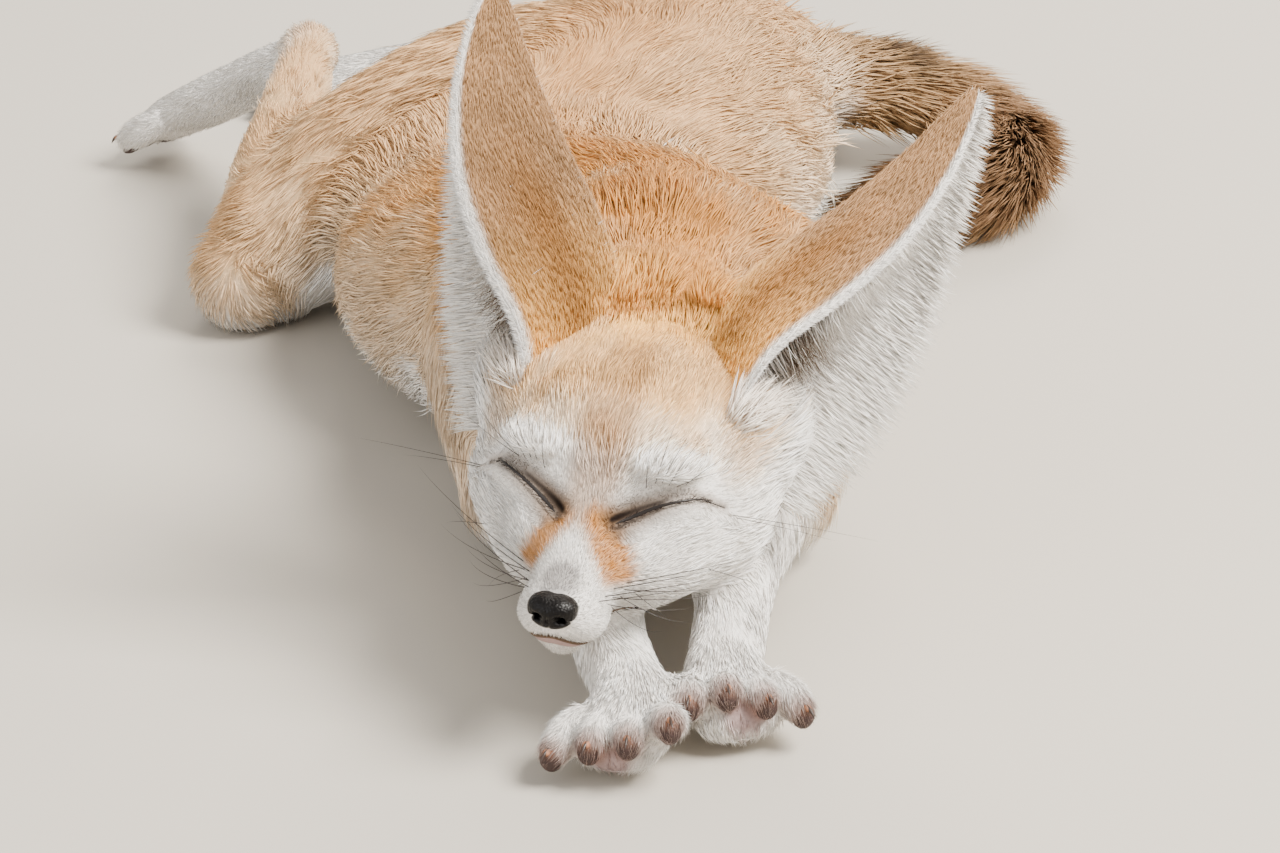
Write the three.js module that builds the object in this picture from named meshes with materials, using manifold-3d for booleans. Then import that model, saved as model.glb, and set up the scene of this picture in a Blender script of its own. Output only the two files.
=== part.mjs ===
// A fennec fox asleep, stretched out on its chest with its chin over its forelegs, at life size.
// Millimetres, +Z up. The fox faces -Y, its left side is +X, and the floor is the plane z = 0.
//
// The head and the nose are fields: rounded masses and tapering limbs run together, and the surface
// is where the field is zero. The trunk, the neck, the legs and the tail are bodies carried along a
// line, and the ears are cupped shells. The ruff of the cheeks, the fringe of the ears and the tail's
// brush are locks of long coat: flat tapered blades that overlap like tiles along the lie.
import * as THREE from 'three';
import Module from 'manifold-3d';

const wasm = await Module();
wasm.setup();
const { Manifold } = wasm;

// Driving dimensions, in millimetres and degrees
const GAP = 0.32;                     // clearance between neighbouring parts
const HEAD_AT = [0, 0, 51];           // middle of the head, over the forearms
const HEAD_YAW = -15.8;               // the muzzle turns towards the fox's right
const HEAD_PITCH = -3;                // and hardly lifts
const HEAD_ROLL = 4.5;                // the crown leans to the left
const EAR_THICK = 2.6;                // ear with its short coat
const CELL = { head: 5.4, nose: 3.2 };  // spacing of the grids that the head and the nose are cut on
const MIDDLE = [-14, 155];            // middle of the whole animal's floor rectangle
const FAR = 900;                      // beyond the whole animal

// Colours of the coat and of bare skin
const COATS = {
  sand: { color: 0xdcb98c, roughness: 0.9 },
  cream: { color: 0xeadcc4, roughness: 0.9 },
  rufous: { color: 0xc98f58, roughness: 0.9 },
  white: { color: 0xf1ebe0, roughness: 0.9 },
  nose: { color: 0x2b2322, roughness: 0.45 },
};

// Small vector helpers on plain arrays
const add = (a, b) => a.map((v, k) => v + b[k]);
const sub = (a, b) => a.map((v, k) => v - b[k]);
const scaled = (a, f) => a.map((v) => v * f);
const dot = (a, b) => a[0] * b[0] + a[1] * b[1] + a[2] * b[2];
const length = (a) => Math.hypot(...a);
const unit = (a) => scaled(a, 1 / length(a));
const mix = (a, b, t) => a.map((v, k) => v + (b[k] - v) * t);
const cross = (a, b) => [
  a[1] * b[2] - a[2] * b[1],
  a[2] * b[0] - a[0] * b[2],
  a[0] * b[1] - a[1] * b[0],
];
const clamp = (v, low, high) => Math.min(high, Math.max(low, v));
const radians = THREE.MathUtils.degToRad;

/** A rounded mass: the distance to an ellipsoid with half widths `radii`. */
function mass(at, radii, blend = 12) {
  const reach = Math.max(...radii);
  const distance = (p) => {
    const d = sub(p, at);
    const near = length(d.map((v, k) => v / radii[k]));
    const slope = length(d.map((v, k) => v / radii[k] ** 2));
    return slope === 0 ? -Math.min(...radii) : (near * (near - 1)) / slope;
  };
  return { distance, blend, ends: [at], reach };
}

/** A tapering limb: the distance to a line from `a` to `b`, less a radius that runs from ra to rb. */
function limb(a, b, ra, rb, blend = 8) {
  const line = sub(b, a);
  const distance = (p) => {
    const t = clamp(dot(sub(p, a), line) / dot(line, line), 0, 1);
    return length(sub(p, mix(a, b, t))) - (ra + (rb - ra) * t);
  };
  return { distance, blend, ends: [a, b], reach: Math.max(ra, rb) };
}

/** The field of many masses: each is run into the rest with a fillet about as wide as its blend. */
function fieldOf(masses) {
  return (p) => {
    let d = Infinity;
    for (const m of masses) {
      const next = m.distance(p);
      const h = Math.max(m.blend - Math.abs(d - next), 0) / m.blend;
      d = Math.min(d, next) - (Number.isFinite(d) ? (h * h * m.blend) / 4 : 0);
    }
    return d;
  };
}

/** The field's values on a grid of cubes, mended where a cube's face has opposite corners inside. */
function sampled(field, low, count, cell) {
  const values = new Float64Array(count[0] * count[1] * count[2]);
  const index = (i, j, k) => (k * count[1] + j) * count[0] + i;
  for (let k = 0; k < count[2]; k += 1) {
    for (let j = 0; j < count[1]; j += 1) {
      for (let i = 0; i < count[0]; i += 1) {
        values[index(i, j, k)] = field([low[0] + i * cell, low[1] + j * cell, low[2] + k * cell]);
      }
    }
  }
  const steps = [[1, 0, 0], [0, 1, 0], [0, 0, 1]];
  for (let mended = 1; mended > 0;) {
    mended = 0;
    for (let k = 0; k < count[2] - 1; k += 1) {
      for (let j = 0; j < count[1] - 1; j += 1) {
        for (let i = 0; i < count[0] - 1; i += 1) {
          for (let axis = 0; axis < 3; axis += 1) {
            const u = steps[(axis + 1) % 3];
            const v = steps[(axis + 2) % 3];
            const corners = [
              index(i, j, k),
              index(i + u[0], j + u[1], k + u[2]),
              index(i + u[0] + v[0], j + u[1] + v[1], k + u[2] + v[2]),
              index(i + v[0], j + v[1], k + v[2]),
            ];
            const inside = corners.map((c) => values[c] < 0);
            if (inside[0] === inside[2] && inside[1] === inside[3] && inside[0] !== inside[1]) {
              values[corners[inside[0] ? 1 : 0]] = -cell / 50;
              mended += 1;
            }
          }
        }
      }
    }
  }
  return { values, index };
}

/**
 * The closed surface of some masses: a point in each cube that the surface crosses, and a quad round
 * each edge of the grid that it crosses.
 */
function flesh(masses, cell) {
  const margin = 1.6 * cell;
  const bound = (k, sign) => Math.max(...masses.flatMap((m) => m.ends.map((e) => sign * e[k] + m.reach)));
  const low = [0, 1, 2].map((k) => -bound(k, -1) - margin);
  const high = [0, 1, 2].map((k) => bound(k, 1) + margin);
  const count = low.map((v, k) => Math.ceil((high[k] - v) / cell) + 1);
  const { values, index } = sampled(fieldOf(masses), low, count, cell);
  const cellPoint = new Map();
  const points = [];
  for (let k = 0; k < count[2] - 1; k += 1) {
    for (let j = 0; j < count[1] - 1; j += 1) {
      for (let i = 0; i < count[0] - 1; i += 1) {
        const sum = [0, 0, 0];
        let crossings = 0;
        for (let axis = 0; axis < 3; axis += 1) {
          for (let side = 0; side < 4; side += 1) {
            const a = [0, 0, 0];
            a[(axis + 1) % 3] = side & 1;
            a[(axis + 2) % 3] = side >> 1;
            const b = [...a];
            b[axis] = 1;
            const va = values[index(i + a[0], j + a[1], k + a[2])];
            const vb = values[index(i + b[0], j + b[1], k + b[2])];
            if (va < 0 !== vb < 0) {
              const spot = mix(a, b, va / (va - vb));
              spot.forEach((v, n) => { sum[n] += v; });
              crossings += 1;
            }
          }
        }
        if (crossings > 0) {
          cellPoint.set(index(i, j, k), points.length);
          points.push([i, j, k].map((v, n) => low[n] + (v + sum[n] / crossings) * cell));
        }
      }
    }
  }
  const faces = [];
  for (let k = 1; k < count[2] - 1; k += 1) {
    for (let j = 1; j < count[1] - 1; j += 1) {
      for (let i = 1; i < count[0] - 1; i += 1) {
        for (let axis = 0; axis < 3; axis += 1) {
          const step = [0, 0, 0];
          step[axis] = 1;
          const here = values[index(i, j, k)] < 0;
          const there = values[index(i + step[0], j + step[1], k + step[2])] < 0;
          if (here === there) continue;
          const u = [0, 0, 0];
          const v = [0, 0, 0];
          u[(axis + 1) % 3] = 1;
          v[(axis + 2) % 3] = 1;
          const ring = [[0, 0], [1, 0], [1, 1], [0, 1]].map(([a, b]) => cellPoint.get(
            index(i - a * u[0] - b * v[0], j - a * u[1] - b * v[1], k - a * u[2] - b * v[2]),
          ));
          if (!here) ring.reverse();
          const [p, q, r, s] = ring;
          if (length(sub(points[p], points[r])) < length(sub(points[q], points[s]))) {
            faces.push([p, q, r], [p, r, s]);
          } else {
            faces.push([p, q, s], [q, r, s]);
          }
        }
      }
    }
  }
  return solid(points, faces);
}

/** A solid from its points and triangles. */
function solid(points, faces) {
  return new Manifold(new wasm.Mesh({
    numProp: 3,
    vertProperties: new Float32Array(points.flat()),
    triVerts: new Uint32Array(faces.flat()),
  }));
}

/** A solid's points and triangles. */
function pieces(body) {
  const mesh = body.getMesh();
  const points = [];
  const faces = [];
  for (let n = 0; n < mesh.vertProperties.length; n += mesh.numProp) {
    points.push([...mesh.vertProperties.slice(n, n + 3)]);
  }
  for (let n = 0; n < mesh.triVerts.length; n += 3) {
    faces.push([...mesh.triVerts.slice(n, n + 3)]);
  }
  return { points, faces };
}

/** The largest closed surface of a solid. */
function largest(body) {
  const parts = body.decompose();
  return parts.reduce((a, b) => (b.volume() > a.volume() ? b : a));
}

/** The same solid with each point moved out by `by` along the mean of its triangles' normals. */
function inflated(body, by) {
  const { points, faces } = pieces(body);
  const normals = points.map(() => [0, 0, 0]);
  for (const face of faces) {
    const [a, b, c] = face.map((n) => points[n]);
    const area = cross(sub(b, a), sub(c, a));
    face.forEach((n) => { normals[n] = add(normals[n], area); });
  }
  return solid(points.map((p, n) => add(p, scaled(unit(normals[n]), by))), faces);
}

/** A block from its lowest and highest corners, for cutting along a plane. */
function block(low, high) {
  const size = sub(high, low);
  const box = new THREE.BoxGeometry(...size);
  box.translate(...mix(low, high, 0.5));
  const at = box.attributes.position;
  const names = new Map();
  const points = [];
  const order = [];
  for (let n = 0; n < at.count; n += 1) {
    const p = [at.getX(n), at.getY(n), at.getZ(n)];
    const name = p.map((v) => v.toFixed(4)).join();
    if (!names.has(name)) {
      names.set(name, points.length);
      points.push(p);
    }
    order.push(names.get(name));
  }
  const faces = [];
  for (let n = 0; n < box.index.count; n += 3) {
    faces.push([0, 1, 2].map((m) => order[box.index.getX(n + m)]));
  }
  return solid(points, faces);
}

const underFloor = block([-FAR, -FAR, -FAR], [FAR, FAR, 0]);

const built = [];

/**
 * Keeps a part: its whole shape, less the cutters, the floor and a clearance round the whole shape of
 * each part that is already there. Parts cut from one whole leave each other alone.
 */
function keep(name, coat, whole, cutters = [], clear = inflated(whole, GAP)) {
  let rest = whole.subtract(underFloor);
  cutters.forEach((cutter) => { rest = rest.subtract(cutter); });
  const a = rest.boundingBox();
  built.filter((other) => other.whole !== whole).forEach((other) => {
    const b = other.clear.boundingBox();
    const meets = [0, 1, 2].every((k) => a.min[k] < b.max[k] && b.min[k] < a.max[k]);
    if (meets) rest = rest.subtract(other.clear);
  });
  built.push({ name, coat, whole, clear, body: largest(rest) });
}

// A lock of coat: how far along it each of its rings stands, and the share of its width there
const LOCK_RINGS = [[0, 0.75], [0.32, 1], [0.68, 0.66]];

/**
 * A lock of long coat: a flat blade on a bending line that tapers to a point. `at` gives the line's
 * place at u from 0 to 1, with the ways across the blade and out of its face; `by` makes it larger.
 */
function lock({ at, wide, thick }, by = 0) {
  const points = [];
  LOCK_RINGS.forEach(([u, share]) => {
    const { middle, across, out } = at(u);
    const side = scaled(across, (wide / 2) * share + by);
    const face = scaled(out, (thick / 2) * share + by);
    points.push(add(middle, side), add(middle, face), sub(middle, side), sub(middle, face));
  });
  const tip = at(1);
  points.push(add(tip.middle, scaled(unit(cross(tip.out, tip.across)), by)));
  const faces = [[0, 1, 2], [0, 2, 3]];
  for (let j = 0; j < 4; j += 1) {
    const next = (j + 1) % 4;
    for (let ring = 0; ring < 8; ring += 4) {
      faces.push([ring + next, ring + j, ring + j + 4], [ring + next, ring + j + 4, ring + next + 4]);
    }
    faces.push([8 + next, 8 + j, 12]);
  }
  const body = solid(points, faces);
  return body.volume() < 0 ? solid(points, faces.map(([a, b, c]) => [a, c, b])) : body;
}

/**
 * The line of a lock that leaves the body at `root`, where `out` is the way out of the body and `along`
 * the lie of the coat: it starts `sink` under the surface, rises by `lift` and bends over, `long` away.
 */
function strand(root, out, along, { long, lift, sink }) {
  const across = unit(cross(along, out));
  return (u) => ({
    middle: add(add(root, scaled(along, long * u)), scaled(out, (lift + sink) * (2 * u - u * u) - sink)),
    across,
    out,
  });
}

/** Keeps a part that carries locks, which are run into its plain form. */
function keepCoated(name, coat, plain, locks, cutters = []) {
  const whole = locks.reduce((body, each) => body.add(lock(each)), plain);
  const clear = locks.reduce((body, each) => body.add(lock(each, GAP)), inflated(plain, GAP));
  keep(name, coat, whole, cutters, clear);
}

// The head, in its own frame: x to the fox's left, y back, z up, from the middle of the skull
const headMatrix = new THREE.Matrix4()
  .makeRotationFromEuler(new THREE.Euler(
    radians(HEAD_PITCH),
    radians(HEAD_ROLL),
    radians(HEAD_YAW),
    'ZXY',
  ))
  .setPosition(...HEAD_AT);

/** A point of the head's own frame in the fox's frame. */
function fromHead(p) {
  return new THREE.Vector3(...p).applyMatrix4(headMatrix).toArray();
}

/** A direction of the head's own frame in the fox's frame. */
function headWay(p) {
  return new THREE.Vector3(...p).transformDirection(headMatrix).toArray();
}

/** A solid built in the head's own frame, moved to its place. */
function onHead(body) {
  const { points, faces } = pieces(body);
  return solid(points.map(fromHead), faces);
}

const NOSE_TIP = [0, -55, -15];
const LEFT_AND_RIGHT = [1, -1];

function headSolid() {
  const pair = (x, y, z, radii, blend) => (
    LEFT_AND_RIGHT.map((s) => mass([s * x, y, z], radii, blend))
  );
  return onHead(flesh([
    mass([0, 9, 5], [31, 33, 28], 10),
    mass([0, -12, 9], [21, 18, 15], 12),
    ...pair(18.5, -3, -7, [17.5, 23, 17], 12),
    mass([0, 4, -14], [25, 30, 14], 12),
    ...pair(11, -22, -11, [11.5, 15, 12], 12),
    limb([0, -20, -7], [0, -48.5, -16.5], 15, 8.4, 12),
    limb([0, -20, -19], [0, -45, -23.5], 9.5, 5.4, 5),
    ...pair(4.6, -47.5, -18.5, [5.6, 7, 5.4], 4),
    ...pair(16, -24.5, 2.6, [8.4, 6.6, 6.2], 6),
    ...pair(29, 8, 12, [10, 12, 13], 12),
  ], CELL.head));
}

// The ruff of the cheeks: where each lock leaves the head, and the way that it lies
const RUFF = [
  { root: [34, 8, -2], along: [0.5, 0.75, -0.3] },
  { root: [33, 1, -10], along: [0.5, 0.6, -0.5] },
  { root: [32, 16, -9], along: [0.35, 0.85, -0.4] },
  { root: [29, -5, -17], along: [0.42, 0.45, -0.7] },
  { root: [28, 10, -18], along: [0.3, 0.7, -0.6] },
];
const RUFF_LOCK = { long: 12, wide: 11, thick: 3.2, lift: 0.8, sink: 3 };

/** The locks of the ruff, down both cheeks. */
function ruffLocks() {
  return LEFT_AND_RIGHT.flatMap((s) => RUFF.map(({ root, along }) => {
    const way = unit([s * along[0], along[1], along[2]]);
    const side = unit([s * root[0], 0.3 * root[1], 0.8 * root[2]]);
    const out = unit(sub(side, scaled(way, dot(side, way))));
    const start = fromHead([s * root[0], root[1], root[2]]);
    return { at: strand(start, headWay(out), headWay(way), RUFF_LOCK), ...RUFF_LOCK };
  }));
}

/** Thin curved blades that cut the line of the mouth and the slits of the closed eyes. */
function faceSlits() {
  const mouth = [
    [13, -27, -18.5, 3, 0.7],
    [9.5, -41, -22, 3, 0.7],
    [0, -53.5, -23.2, 3, 0.7],
    [-9.5, -41, -22, 3, 0.7],
    [-13, -27, -18.5, 3, 0.7],
  ];
  const eyes = LEFT_AND_RIGHT.map((s) => [
    [s * 7.2, -35.5, 0.8, 2.6, 0.7],
    [s * 12, -33.2, 2.8, 2.6, 0.8],
    [s * 17.5, -29.2, 4.4, 2.6, 0.8],
    [s * 25, -22, 4, 2.6, 0.6],
  ]);
  return [mouth, ...eyes].map((rows) => onHead(loft(rows, 8, 4, 0.1)));
}

/** The nose pad, with a comma of a nostril at each side. */
function noseSolid() {
  const pad = flesh([mass(NOSE_TIP, [5.9, 4.6, 4.7], 3)], CELL.nose);
  const nostrils = LEFT_AND_RIGHT.map((s) => loft([
    [s * 1.7, -60, NOSE_TIP[2] - 0.6, 0.9, 0.9],
    [s * 2.6, -57.5, NOSE_TIP[2] - 0.4, 1.1, 1.1],
    [s * 5.4, -56, NOSE_TIP[2] - 1, 0.9, 0.6],
    [s * 7.4, -54.5, NOSE_TIP[2] - 1.8, 0.5, 0.4],
  ], 8, 6, 0.1));
  return onHead(nostrils.reduce((body, hole) => body.subtract(hole), pad));
}

// An ear is a cupped leaf on three rails: its front rim, the middle of its back and its outer rim. They
// are given up one ear that stands straight, as [outward, back, up] from the ear's root.
const EAR = { rows: 12, columns: 10, root: [30, 10, 15] };
const EAR_RAILS = [
  // front rim       back            outer rim
  [-4, -10, -8, -18, 9, -6, 12, 8, -17],
  [-3.5, -16, 10, -20.5, 9, 14, 15.5, 13, -2],
  [3, -18.5, 28, -17, 8, 32, 17, 13.5, 15],
  [7.5, -17, 46, -10.5, 6.5, 50, 14, 12, 39],
  [7.5, -13, 64, -5.5, 3.5, 67, 9, 7, 61],
  [4.4, -7, 79, -2.6, 1.5, 80, 4.4, 4, 78],
  [0.8, -1, 87.5, -0.8, 0.5, 87.5, 0.8, 1, 87.5],
];
// The fringe: its first and last lock stand at these shares of the ear's height, each lock leans up the
// rim by `up`, and the last is shorter than the first by `shrink`
const FRINGE = {
  locks: 10,
  first: 0.03,
  last: 0.86,
  long: 9.5,
  wide: 11,
  thick: 1.7,
  up: 0.45,
  shrink: 0.7,
};
const EARS = {
  left: { side: 1, out: 24.5, back: 31 },
  right: { side: -1, out: 13.5, back: 13 },
};

/** A point of the ear at t from root to tip and s across it, from -1 at the outer rim to 1 at the front. */
function earPoint(ear, t, s) {
  const row = between(EAR_RAILS, t);
  const [front, back, outer] = [row.slice(0, 3), row.slice(3, 6), row.slice(6, 9)];
  const bowl = sub(mix(front, outer, 0.5), back);
  const own = add(add(back, scaled(sub(front, outer), s / 2)), scaled(bowl, s * s));
  const lean = unit([Math.tan(radians(ear.out)), Math.tan(radians(ear.back)), 1]);
  const turn = new THREE.Quaternion()
    .setFromUnitVectors(new THREE.Vector3(0, 0, 1), new THREE.Vector3(...lean));
  const turned = new THREE.Vector3(...own).applyQuaternion(turn);
  return [ear.side * (EAR.root[0] + turned.x), EAR.root[1] + turned.y, EAR.root[2] + turned.z];
}

/** A point of the ear's back: the same point of its cup, moved out by the ear's thickness there. */
function earBack(ear, t, s) {
  const step = 0.01;
  const up = sub(earPoint(ear, Math.min(t + step, 1), s), earPoint(ear, Math.max(t - step, 0), s));
  const over = sub(earPoint(ear, t, s + step), earPoint(ear, t, s - step));
  const outward = scaled(unit(cross(over, up)), ear.side);
  const thick = EAR_THICK * (1 - 0.4 * s * s) * (1 - 0.45 * t);
  return add(earPoint(ear, t, s), scaled(outward, thick));
}

/** A closed shell between two grids of points with the same rows and columns. */
function shell(rows, columns, outer, inner) {
  const points = [];
  const name = (side, i, j) => (side * (rows + 1) + i) * (columns + 1) + j;
  [outer, inner].forEach((grid) => {
    for (let i = 0; i <= rows; i += 1) {
      for (let j = 0; j <= columns; j += 1) points.push(grid(i / rows, (2 * j) / columns - 1));
    }
  });
  const faces = [];
  const quad = (a, b, c, d) => faces.push([a, b, c], [a, c, d]);
  for (let i = 0; i < rows; i += 1) {
    for (let j = 0; j < columns; j += 1) {
      quad(name(0, i, j), name(0, i, j + 1), name(0, i + 1, j + 1), name(0, i + 1, j));
      quad(name(1, i, j), name(1, i + 1, j), name(1, i + 1, j + 1), name(1, i, j + 1));
    }
    quad(name(0, i, 0), name(0, i + 1, 0), name(1, i + 1, 0), name(1, i, 0));
    quad(name(0, i, columns), name(1, i, columns), name(1, i + 1, columns), name(0, i + 1, columns));
  }
  for (let j = 0; j < columns; j += 1) {
    quad(name(0, 0, j), name(1, 0, j), name(1, 0, j + 1), name(0, 0, j + 1));
    quad(name(0, rows, j), name(0, rows, j + 1), name(1, rows, j + 1), name(1, rows, j));
  }
  const body = solid(points, faces);
  return body.volume() < 0 ? solid(points, faces.map(([a, b, c]) => [a, c, b])) : body;
}

/** The locks of the fringe: they carry on across the cup and stand out beyond the outer rim. */
function fringeLocks(ear) {
  const locks = [];
  for (let n = 0; n < FRINGE.locks; n += 1) {
    const q = n / (FRINGE.locks - 1);
    const t = FRINGE.first + (FRINGE.last - FRINGE.first) * q;
    const root = mix(earPoint(ear, t, -0.93), earBack(ear, t, -0.93), 0.5);
    const across = unit(sub(earPoint(ear, t, -1), earPoint(ear, t, -0.8)));
    const up = unit(sub(earPoint(ear, t + 0.02, -1), earPoint(ear, t - 0.02, -1)));
    const along = unit(add(across, scaled(up, FRINGE.up)));
    const face = unit(cross(across, up));
    const out = unit(sub(face, scaled(along, dot(face, along))));
    const size = 1 - FRINGE.shrink * q;
    const rise = { long: FRINGE.long * size, lift: 0.2, sink: 0.2 };
    locks.push({
      at: strand(fromHead(root), headWay(out), headWay(along), rise),
      wide: FRINGE.wide * (0.45 + 0.55 * size),
      thick: FRINGE.thick * (1 - 0.4 * q),
    });
  }
  return locks;
}

function earSolid(ear) {
  const cup = (t, s) => earPoint(ear, t, s);
  const back = (t, s) => earBack(ear, t, s);
  return onHead(shell(EAR.rows, EAR.columns, cup, back));
}

/** A value between the rows of a table by a smooth curve through them, at q from 0 to 1. */
function between(rows, q) {
  const place = clamp(q, 0, 1) * (rows.length - 1);
  const n = Math.min(Math.floor(place), rows.length - 2);
  const t = place - n;
  const [a, b, c, d] = [-1, 0, 1, 2].map((k) => rows[clamp(n + k, 0, rows.length - 1)]);
  return b.map((v, k) => 0.5 * (2 * v + t * (c[k] - a[k]
    + t * (2 * a[k] - 5 * v + 4 * c[k] - d[k] + t * (3 * v - a[k] - 3 * c[k] + d[k])))));
}

/**
 * A body carried along a line: `rows` are [x, y, z, half width, half height] from end to end, the
 * sections stay upright, and both ends are rounded off over the share `cap` of the length.
 */
function loft(rows, rings, sides, cap = 0.16, flare = 0) {
  const points = [];
  const faces = [];
  for (let i = 1; i < rings; i += 1) {
    const swing = Math.cos((Math.PI * i) / rings);
    const q = 0.5 - 0.5 * swing * (0.75 + 0.25 * swing ** 2);
    const [x, y, z, wide, high] = between(rows, q);
    const ahead = unit(sub(between(rows, q + 0.02).slice(0, 3), between(rows, q - 0.02).slice(0, 3)));
    const across = unit(cross(ahead, [0, 0, 1]));
    const upward = cross(across, ahead);
    const end = Math.min(1, q / cap, (1 - q) / cap);
    const round = Math.sqrt(1 - (1 - end) ** 2);
    for (let j = 0; j < sides; j += 1) {
      const angle = (2 * Math.PI * j) / sides;
      const out = Math.cos(angle) * (1 - flare * Math.sin(angle));
      const side = scaled(across, wide * round * out);
      points.push(add(add([x, y, z], side), scaled(upward, high * round * Math.sin(angle))));
    }
  }
  const first = points.length;
  points.push(rows[0].slice(0, 3), rows[rows.length - 1].slice(0, 3));
  const last = (rings - 2) * sides;
  for (let j = 0; j < sides; j += 1) {
    const next = (j + 1) % sides;
    for (let i = 0; i < rings - 2; i += 1) {
      const [a, b, c, d] = [i * sides + j, i * sides + next, (i + 1) * sides + next, (i + 1) * sides + j];
      faces.push([a, b, c], [a, c, d]);
    }
    faces.push([first, next, j], [first + 1, last + j, last + next]);
  }
  const body = solid(points, faces);
  return body.volume() < 0 ? solid(points, faces.map(([a, b, c]) => [a, c, b])) : body;
}

// The trunk lies on its chest in front and rolls onto the left hip behind, so that the belly shows on
// the right.
const TRUNK = [
  [5, 26, 40, 30, 30],
  [8, 60, 43, 46, 48],
  [6, 88, 42, 49, 48],
  [-8, 122, 38, 53, 43],
  [-20, 156, 33, 58, 38],
  [-19, 190, 31, 57, 36],
  [2, 226, 34, 52, 38],
  [14, 260, 34, 46, 39],
  [20, 304, 32, 34, 33],
];
const HIND_CUT = 208;                 // the plane that parts the chest and belly from the hindquarters

const NECK = [
  [2, -4, 50, 20, 20],
  [2, 22, 52, 29, 28],
  [3, 50, 50, 37, 36],
  [5, 84, 50, 38, 38],
];

// Legs: points from the body to the toes, with half width and half height of the leg at each
const FORELEGS = {
  left: {
    upper: [[30, 98, 60, 16, 18], [38, 82, 46, 18, 23], [38, 64, 28, 16, 20], [36, 50, 14, 12, 14]],
    arm: [
      [35, 60, 15, 13, 15],
      [32, 40, 19, 13.5, 15],
      [26, 4, 19, 10.5, 10.5],
      [22, -33, 13, 9, 8.5],
      [21, -44, 10, 7, 6],
    ],
    wrist: [22, -32, 10.5],
    toes: [27, -50, 4.6],
  },
  right: {
    upper: [[-20, 98, 60, 16, 18], [-30, 82, 46, 18, 23], [-30, 64, 28, 16, 20], [-27, 50, 14, 12, 14]],
    arm: [
      [-26, 58, 15, 13, 15],
      [-23, 38, 19, 13.5, 15],
      [-10, -2, 18, 10.5, 10.5],
      [1, -45, 13, 9, 8.5],
      [3, -56, 10, 7, 6],
    ],
    wrist: [1, -44, 10.5],
    toes: [-4, -64, 4.6],
  },
};
const HIND_LEGS = {
  right: {
    thigh: [
      [8, 252, 42, 26, 26],
      [-24, 240, 44, 36, 31],
      [-64, 220, 35, 30, 29],
      [-96, 201, 18, 18, 20],
      [-108, 193, 13, 10, 12],
    ],
    shin: [
      [-107, 190, 12, 11, 12],
      [-101, 201, 15, 16, 17],
      [-97, 230, 29, 14.5, 15],
      [-93, 262, 43, 10, 10.5],
      [-91, 282, 49, 8, 8],
    ],
    hock: [-92, 279, 46],
    toes: [-139, 316, 10],
  },
  left: {
    thigh: [
      [4, 264, 30, 26, 26],
      [20, 288, 30, 32, 31],
      [34, 320, 24, 27, 26],
      [44, 346, 17, 18, 19],
      [48, 360, 13, 10, 12],
    ],
    shin: [
      [54, 350, 13, 12, 12],
      [40, 358, 14, 16, 16],
      [6, 370, 14, 13, 14],
      [-34, 377, 11, 10, 10.5],
      [-54, 376, 10, 8, 8],
    ],
    hock: [-48, 376, 10],
    toes: [-108, 351, 5],
  },
};
const FOREPAW = { palm: 9.5, toe: 4.6, span: 24, rise: 1.5 };
const HIND_FOOT = { palm: 9.5, toe: 4.8, span: 23, rise: 0 };

/** A foot from its heel to its toes: a palm, and four toes that fan out, each with its claw. */
function footSolid(heel, toes, { palm, toe, span, rise: tilt }) {
  const ahead = unit(sub(toes, heel));
  const across = unit(cross(ahead, [0, 0, 1]));
  const far = length(sub(toes, heel));
  const place = (back, n, rise) => (
    add(add(sub(toes, scaled(ahead, back)), scaled(across, (n / 3) * span)), [0, 0, rise + tilt])
  );
  let body = loft([
    [...place(far + 5, 0, 0), palm * 0.75, palm * 0.75],
    [...place(far * 0.75, 0, 0), palm * 0.9, palm * 0.85],
    [...place(9, 0, 0.5), palm * 1.15, palm * 0.75],
    [...place(3, 0, -0.5), palm * 0.8, palm * 0.5],
  ], 7, 8, 0.2);
  [-1.5, -0.5, 0.5, 1.5].forEach((n) => {
    const short = 1.5 * Math.abs(n);
    const digit = loft([
      [...place(12 + short, n * 0.6, 0.5), toe * 0.75, toe * 0.8],
      [...place(5 + short, n * 0.9, 0.6), toe * 0.95, toe],
      [...place(short - 1, n, 0.2), toe * 1.05, toe * 1.05],
      [...place(short - 4.5, n * 1.05, 0), toe * 0.7, toe * 0.7],
    ], 6, 6, 0.2);
    const claw = loft([
      [...place(short - 2, n, toe * 0.6), 1.3, 1.5],
      [...place(short - 6, n * 1.05, toe * 0.6), 1.1, 1.3],
      [...place(short - 8.5, n * 1.08, toe * 0.1), 0.5, 0.6],
    ], 3, 4, 0.1);
    body = body.add(digit).add(claw);
  });
  return body;
}

// The tail leaves the rump to the left, lies on the floor and bends back towards the body. These are
// points along it, with half width and half height out to the tips of its brush.
const TAIL = [
  [30, 276, 36, 12, 12],
  [54, 298, 32, 12, 12],
  [80, 311, 25, 14, 14],
  [98, 303, 18, 16.5, 16.5],
  [106, 284, 16.5, 17.5, 17.5],
  [101, 264, 16, 17.5, 17.5],
  [86, 254, 14, 15, 15],
  [70, 250, 9, 10, 10],
];
// The brush: the share of the tail that its core fills, the rings of locks, the locks in a ring, the
// share of a lock that a ring is turned by, the first and the last ring and a lock's reach as shares of
// the tail's length, and the length that a lock would run on for past the tail's end
const BRUSH = {
  core: 0.66,
  rings: 6,
  around: 5,
  turn: 0.43,
  first: 0.14,
  last: 0.82,
  reach: 0.32,
  past: 160,
  wide: 19,
  thick: 5,
};

/** The way along the tail at q from its root to its end. */
function tailWay(q) {
  const near = clamp(q, 0.02, 0.98);
  return unit(sub(between(TAIL, near + 0.02).slice(0, 3), between(TAIL, near - 0.02).slice(0, 3)));
}

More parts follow.
